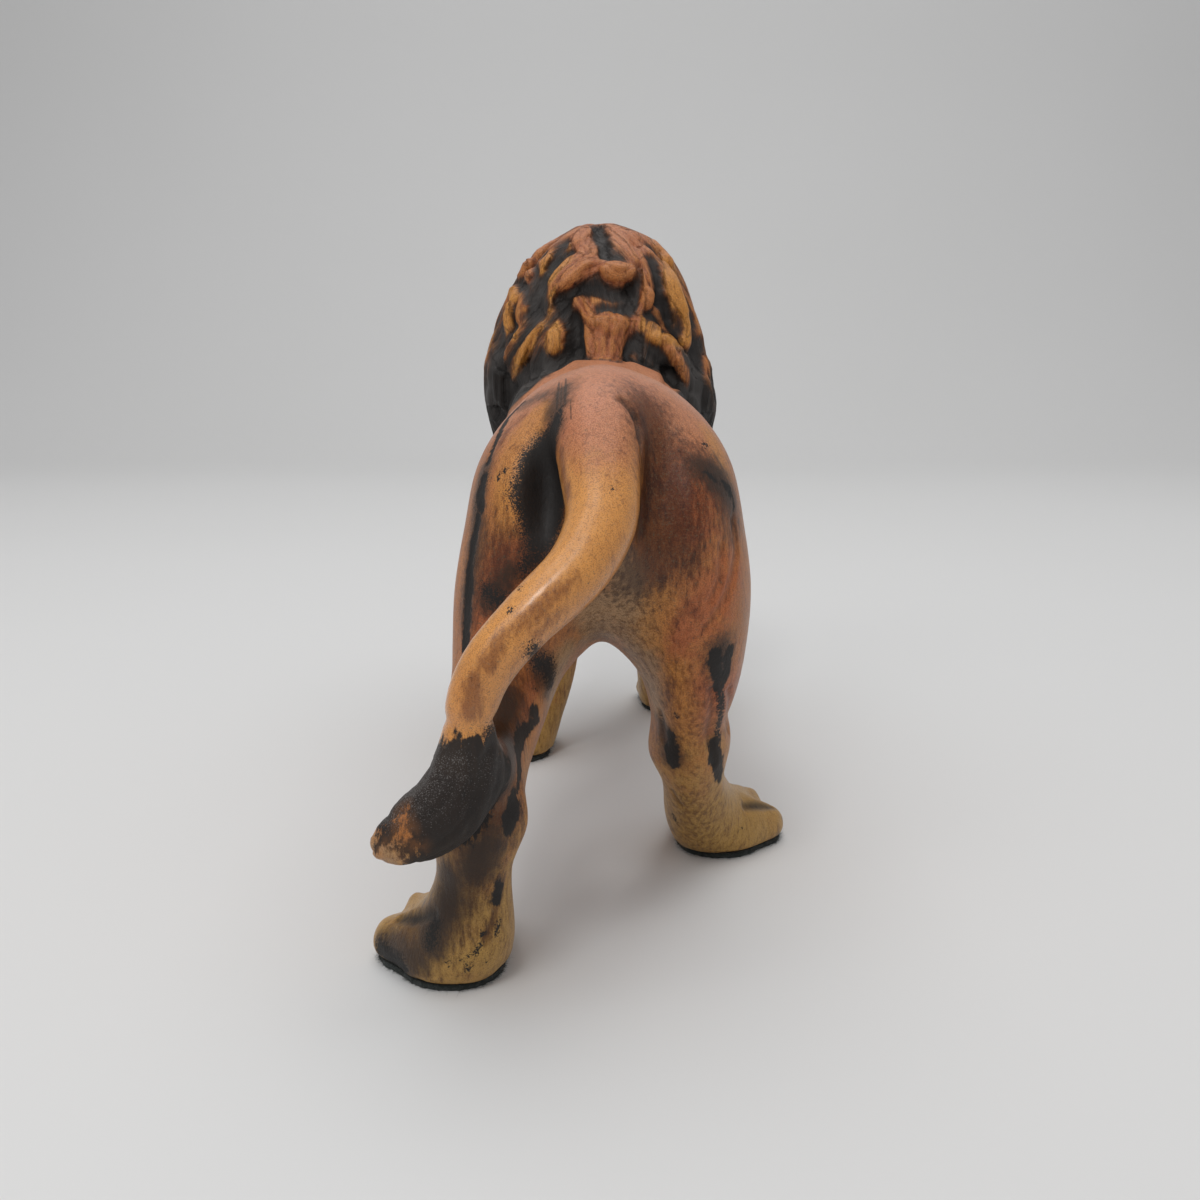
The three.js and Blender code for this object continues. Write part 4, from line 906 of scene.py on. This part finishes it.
def noise(vector, scale, detail, rough=0.5):
    return add(paint, "ShaderNodeTexNoise",
               {"Vector": vector, "Scale": scale, "Detail": detail, "Roughness": rough}).outputs["Fac"]


def stretched(scale):
    return add(paint, "ShaderNodeMapping", {"Vector": where, "Scale": scale}).outputs["Vector"]


def sum_of(*terms):
    """The weighted sum of pairs of (socket, weight), with plain numbers added on."""
    total = sum(term for term in terms if isinstance(term, float))
    for term in terms:
        if not isinstance(term, float):
            total = maths(paint, "MULTIPLY_ADD", term[0], term[1], total)
    return total


def times(a, b):
    return maths(paint, "MULTIPLY", a, b)


def either(a, b):
    return maths(paint, "MAXIMUM", a, b)


def between(value, low, high):
    """0 below low, 1 above high, smooth between them."""
    return add(paint, "ShaderNodeMapRange", {"Value": value, "From Min": low, "From Max": high},
               interpolation_type="SMOOTHSTEP").outputs["Result"]


def brushed(mask, grain, raggedness, softness):
    """The cover that a dry brush leaves of a mask."""
    return add(paint, "ShaderNodeGroup",
               {"Mask": mask, "Grain": grain, "Raggedness": raggedness, "Softness": softness},
               node_tree=dry_brush).outputs["Cover"]


def coat(under, over, cover):
    """One colour laid over another where the cover is 1."""
    mixed = add(paint, "ShaderNodeMix", data_type="RGBA")
    for name, kind, value in (("Factor", "VALUE", cover), ("A", "RGBA", under), ("B", "RGBA", over)):
        socket = next(s for s in mixed.inputs if s.name == name and s.type == kind)
        feed(paint, socket, (*value, 1) if isinstance(value, tuple) else value)
    return next(s for s in mixed.outputs if s.type == "RGBA")


def stain(under, tint, cover):
    """A thin wash: it darkens what lies under it towards the tint."""
    mixed = coat(under, tint, cover)
    mixed.node.blend_type = "MULTIPLY"
    return mixed


# Paints, from the pale ones to the black.
BROWN, ORANGE, HONEY = (0.40, 0.150, 0.038), (0.56, 0.205, 0.054), (0.84, 0.375, 0.082)
RUST, ROSE_AND_TOP_LIGHT = (0.50, 0.140, 0.048), (0.64, 0.260, 0.135)
OCHRE, TAN = (0.48, 0.280, 0.070), (0.46, 0.310, 0.165)
GOLD, COPPER, DUST_AND_SHEEN = (0.68, 0.305, 0.066), (0.52, 0.180, 0.068), (0.190, 0.175, 0.165)
UMBER, SMOKE, SOOT = (0.080, 0.032, 0.009), (0.032, 0.016, 0.008), (0.014, 0.012, 0.011)
AMBER, NOSE = (0.38, 0.17, 0.03), (0.05, 0.025, 0.022)

# Thinned paints for washes and for painted shade.
THIN_BROWN, UMBER_WASH_AND_SHADE, DEEP_SHADE = (0.42, 0.30, 0.22), (0.40, 0.30, 0.23), (0.20, 0.14, 0.11)
SMEARED, SPECKLED, STREAKED = (0.36, 0.25, 0.17), (0.34, 0.26, 0.21), (0.55, 0.45, 0.38)

# Grains of the brush, the sponge and the spray.
cloud = noise(where, 45, 3, 0.55)
patch = noise(where, 150, 5, 0.6)
brush = noise(where, 430, 6, 0.68)
streak = noise(stretched((1, 1, 0.3)), 900, 6, 0.7)
speck = noise(where, 1900, 4, 0.7)
grain = noise(where, 4200, 2, 0.6)
bristles = noise(stretched((1, 0.03, 0.06)), 1300, 1)
combed = add(paint, "ShaderNodeAttribute", attribute_name="comb").outputs["Vector"]
hairs = noise(combed, 1.9, 5, 0.6)
fine_hairs = noise(combed, 1.1, 4, 0.65)
marks = {name: add(paint, "ShaderNodeAttribute", attribute_name=name).outputs["Fac"] for name in notes}

# The body's ground: orange over brown, rose on the back where it faces up (partly its paint, partly painted
# light from above), ochre on the legs, honey on the tail.
height = add(paint, "ShaderNodeSeparateXYZ", {"Vector": where}).outputs["Z"]
low_down = between(sum_of((height, -1.0), 0.060), 0.008, 0.050)
# Rose on the top of the back, laid where the surface faces up: the lion's own paint together with painted
# light from above.
top_in_light = times(between(height, 0.086, 0.112), between(marks["upward"], 0.1, 0.75))
colour = coat(BROWN, ORANGE, brushed(sum_of((cloud, 1.0), (marks["ridge"], 0.15)), patch, 1.6, 0.4))
colour = coat(colour, RUST, times(brushed(marks["rust"], brush, 1.8, 0.45), 0.8))
colour = coat(colour, ROSE_AND_TOP_LIGHT, times(top_in_light, 0.85))
colour = coat(colour, OCHRE, times(brushed(low_down, patch, 1.4, 0.45), 0.92))
# The honey lies thicker where the tail faces up: painted light from above on top of its own honey paint.
honey_and_top_light_cover = sum_of((marks["upward"], 0.3), (patch, 0.6), (low_down, -0.3), 0.3)
colour = coat(colour, HONEY, times(brushed(marks["tail"], brush, 0.8, 0.35), honey_and_top_light_cover))
colour = coat(colour, TAN, times(brushed(marks["pale"], streak, 1.4, 0.45), 0.8))
colour = coat(colour, coat(GOLD, OCHRE, low_down), times(brushed(marks["gold"], brush, 1.8, 0.45), 0.6))

# The hair: copper to gold by the lock, rose at the crown where it faces up (partly paint, partly painted
# light from above), brown along the strands.
crown = times(between(height, 0.138, 0.156), between(marks["upward"], 0.1, 0.8))
hair = coat(COPPER, GOLD, brushed(marks["gold_lock"], patch, 1.0, 0.4))
hair = coat(hair, HONEY, times(brushed(marks["ridge"], streak, 1.0, 0.4), 0.3))
hair = coat(hair, ROSE_AND_TOP_LIGHT, times(crown, 0.7))
hair = stain(hair, THIN_BROWN, times(brushed(sum_of((marks["soot"], 0.7), 0.3), fine_hairs, 2.4, 0.3), 0.8))
hair = coat(hair, UMBER, times(brushed(sum_of((marks["soot"], 1.0), 0.12), hairs, 1.0, 0.36), 0.85))
colour = coat(colour, hair, marks["mane"])

# Antiquing: a thin dark wash everywhere, thicker in the hollows, and thicker as painted shade on the sides
# that face away from the light above; a broad painted shade; then the sprayed smoke with its speckled edge,
# smears and scratches.
# The wash: real thin paint, thickest in the hollows, and painted shade where the surface faces away from the
# light above.
wash = sum_of((marks["hollow"], 0.35), (marks["upward"], -0.22), (cloud, 0.7), (marks["tail"], -0.25), -0.08)
# Dark specks, denser in the smoke and in the painted shade, and fewer where the surface faces up; that part
# is painted shade on the sides.
pepper = sum_of((marks["smoke"], 0.30), (marks["shade"], 0.12), (marks["upward"], -0.1), (patch, 0.5),
                (low_down, -0.22), -0.16)
body_speckle = sum_of((marks["tail"], -0.12), (cloud, 0.3), (low_down, -0.1), 0.27)
raked = sum_of((marks["rake"], 1.1), -0.55)
colour = stain(colour, UMBER_WASH_AND_SHADE, times(brushed(wash, streak, 2.0, 0.3), 0.8))
colour = stain(colour, DEEP_SHADE, times(brushed(marks["shade"], streak, 1.5, 0.42), 0.85))
colour = coat(colour, SMOKE, times(brushed(pepper, speck, 2.6, 0.10), 0.72))
colour = stain(colour, SMEARED, times(brushed(marks["smear"], streak, 1.6, 0.45), 0.75))
colour = stain(colour, SPECKLED, times(brushed(body_speckle, grain, 2.6, 0.25), 0.6))
colour = stain(colour, STREAKED, times(brushed(0.40, streak, 2.2, 0.4), 0.35))
colour = coat(colour, TAN, times(brushed(0.22, speck, 2.2, 0.3), 0.25))
colour = coat(colour, SMOKE, times(brushed(marks["smoke"], brush, 1.1, 0.4), 0.85))
colour = coat(colour, UMBER, times(brushed(marks["scratch"], brush, 0.6, 0.4), 0.6))
colour = coat(colour, SMOKE, times(brushed(raked, bristles, 2.6, 0.12), 0.75))

# Brushed and sprayed black, with a grey painted sheen, speckled like dust, on the tuft where it faces up and
# in cloudy patches over the mane's black, and rubbed bare in a few places.
solid = brushed(marks["char"], sum_of((brush, 0.5), (streak, 0.5)), 2.4, 0.14)
mist = brushed(sum_of((marks["spray"], 1.1), -0.08), sum_of((speck, 0.5), (grain, 0.5)), 2.8, 0.14)
dots = either(brushed(sum_of((marks["spatter"], 0.75), -0.02), speck, 2.2, 0.10), marks["crease"])
in_hair = brushed(marks["soot"], hairs, 1.0, 0.48)
black = times(either(either(either(solid, in_hair), mist), dots), 0.98)
# Grey painted sheen on the tuft's black where it faces up, broken into specks.
dusty_sheen = brushed(sum_of((marks["tuft"], 0.45), (marks["upward"], 0.5), (patch, 0.6), -0.70), grain, 2.6, 0.14)
haze = times(between(cloud, 0.35, 0.7), 0.3)
worn = brushed(sum_of((marks["tuft"], 0.4), (marks["char"], -0.5), 0.2), brush, 1.2, 0.3)
colour = coat(colour, SOOT, black)
colour = coat(colour, DUST_AND_SHEEN, times(times(black, dusty_sheen), 0.6))
# Grey laid in cloudy patches over the mane's black: a painted sheen.
colour = coat(colour, DUST_AND_SHEEN, times(times(in_hair, marks["mane"]), haze))
colour = coat(colour, BROWN, times(times(marks["rubbed"], brushed(0.45, brush, 1.6, 0.4)), 0.45))
colour = coat(colour, UMBER, times(times(marks["tuft"], worn), 0.15))

# The face.
colour = coat(colour, AMBER, marks["face_eye"])
colour = coat(colour, NOSE, marks["face_nose"])
colour = coat(colour, SOOT, brushed(marks["face_line"], brush, 0.4, 0.3))
feed(paint, shader.inputs["Base Color"], colour)

# Satin on the tail, matt in the hair and the black, and the grain of bisque all over.
matt = sum_of((patch, 0.25), (speck, 0.2), (marks["tail"], -0.06), (black, 0.2), 0.16)
satin = times(sum_of((marks["tail"], 0.7), (marks["mane"], -0.1), 0.12), sum_of((black, -0.85), 1.0))
feed(paint, shader.inputs["Roughness"], matt)
feed(paint, shader.inputs["Coat Weight"], satin)
shader.inputs["Coat Roughness"].default_value = 0.24
shader.inputs["Specular IOR Level"].default_value = 0.3


def bump(tree, height, strength, distance, **below):
    return add(tree, "ShaderNodeBump", {"Height": height, "Strength": strength, "Distance": distance, **below}
               ).outputs["Normal"]


strands = bump(paint, times(hairs, marks["mane"]), 0.9, 0.0006)
brushwork = bump(paint, streak, 0.45, 0.0004, Normal=strands)
feed(paint, shader.inputs["Normal"], bump(paint, speck, 0.4, 0.0002, Normal=brushwork))
lion.data.materials.clear()
lion.data.materials.append(bisque)


# The feet: a sheet of dark green-black felt glued under each paw, cut by hand a little proud of it,
# with loose fibres standing out of the cut edge.
FELT_CELL = 0.0003
FELT_TOP = 0.0013
LUMP_SIZE = 0.0012
LUMP_HEIGHT = 0.0005
FIBRES = 1500
LONG_FIBRES = 0.12
FIBRE_STEPS = 4
FIBRE_SIDES = 3
FELT_DARK = (0.006, 0.009, 0.008, 1)
FELT_LINT = (0.036, 0.050, 0.042, 1)

felt = bpy.data.materials.new("dark_felt")
felt.use_nodes = True
felt_tree = felt.node_tree
cloth = felt_tree.nodes["Principled BSDF"]
matted = add(felt_tree, "ShaderNodeTexNoise",
             {"Vector": add(felt_tree, "ShaderNodeTexCoord").outputs["Object"], "Scale": 1900, "Detail": 4,
              "Roughness": 0.7, "Distortion": 2.5}).outputs["Fac"]
lint = add(felt_tree, "ShaderNodeValToRGB", {"Fac": matted})
lint.color_ramp.elements[0].position = 0.32
lint.color_ramp.elements[0].color = FELT_DARK
lint.color_ramp.elements[1].position = 0.78
lint.color_ramp.elements[1].color = FELT_LINT
feed(felt_tree, cloth.inputs["Base Color"], lint.outputs["Color"])
feed(felt_tree, cloth.inputs["Normal"], bump(felt_tree, matted, 0.8, 0.0003))
cloth.inputs["Roughness"].default_value = 0.95
cloth.inputs["Specular IOR Level"].default_value = 0.15
cloth.inputs["Sheen Weight"].default_value = 0.25
cloth.inputs["Sheen Roughness"].default_value = 0.6


def felt_pad(name):
    """A pad with a lumpy cut edge, and its corners and normals."""
    pad = clay_copy("felt_pad_" + name, "felt_" + name, FELT_CELL)
    lumps = bpy.data.textures.new("felt_lumps", "CLOUDS")
    lumps.noise_scale = LUMP_SIZE
    rough_edge = pad.modifiers.new("rough_edge", "DISPLACE")
    rough_edge.texture = lumps
    rough_edge.texture_coords = "LOCAL"
    rough_edge.strength = LUMP_HEIGHT
    rough_edge.mid_level = 0.5
    bpy.ops.object.modifier_apply(modifier="rough_edge")
    spots = np.empty(3 * len(pad.data.vertices))
    pad.data.vertices.foreach_get("co", spots)
    spots = spots.reshape(-1, 3)
    spots[:, 2] = np.clip(spots[:, 2], 0, FELT_TOP)
    pad.data.vertices.foreach_set("co", spots.ravel())
    pad.data.update()
    bpy.ops.object.shade_smooth_by_angle(angle=math.radians(50))
    pad.data.materials.clear()
    pad.data.materials.append(felt)
    normals = np.empty(spots.size)
    pad.data.vertices.foreach_get("normal", normals)
    return pad, spots, normals.reshape(-1, 3)


def fuzz_of(name, spots, normals, rng):
    """Fibres: tapered three-sided hairs that leave the pad's edge outwards and curl over."""
    rim = np.flatnonzero(np.abs(normals[:, 2]) < 0.75)
    roots = rng.choice(rim, FIBRES)
    out = normals[roots] * (1, 1, 0.3) + rng.normal(0, 0.55, (FIBRES, 3)) * (1, 1, 0.6)
    out /= np.linalg.norm(out, axis=1)[:, None]
    curl = rng.normal(0, 0.9, (FIBRES, 3))
    length = rng.uniform(0.0003, 0.0009, FIBRES) * (1 + 1.1 * (rng.random(FIBRES) < LONG_FIBRES))
    thick = rng.uniform(0.000018, 0.000034, FIBRES)
    aside = np.cross(out, (0, 0, 1.0))
    aside /= np.linalg.norm(aside, axis=1)[:, None]
    upright = np.cross(aside, out)
    rings = []
    for step in range(FIBRE_STEPS + 1):
        t = step / FIBRE_STEPS
        middle = spots[roots] + length[:, None] * (out * t + curl * (0.5 * t * t))
        for turn in range(FIBRE_SIDES):
            angle = 2 * math.pi * turn / FIBRE_SIDES
            spread = (thick * (1 - 0.8 * t))[:, None] * (math.cos(angle) * aside + math.sin(angle) * upright)
            rings.append(middle + spread)
    corners = np.stack(rings, 1)
    corners[:, :, 2] = np.clip(corners[:, :, 2], 0.00003, None)
    quads = []
    for step in range(FIBRE_STEPS):
        for turn in range(FIBRE_SIDES):
            here, there = FIBRE_SIDES * step + turn, FIBRE_SIDES * step + (turn + 1) % FIBRE_SIDES
            quads.append((here, there, there + FIBRE_SIDES, here + FIBRE_SIDES))
    per_fibre = (FIBRE_STEPS + 1) * FIBRE_SIDES
    faces = (np.arange(FIBRES)[:, None, None] * per_fibre + np.array(quads)[None]).reshape(-1, 4)
    fuzz_mesh = bpy.data.meshes.new("fuzz_" + name)
    fuzz_mesh.from_pydata(corners.reshape(-1, 3).tolist(), [], faces.tolist())
    fuzz_mesh.materials.append(felt)
    fuzz = bpy.data.objects.new("fuzz_" + name, fuzz_mesh)
    bpy.context.collection.objects.link(fuzz)
    return fuzz


rng = np.random.default_rng(5)
for name in ("hind_left", "hind_right", "front_left", "front_right"):
    pad, spots, normals = felt_pad(name)
    fuzz = fuzz_of(name, spots, normals, rng)
    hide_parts("felt_pad_" + name)
    for piece in (pad, fuzz):
        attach(piece, "root")
    size = spots.max(0) - spots.min(0)
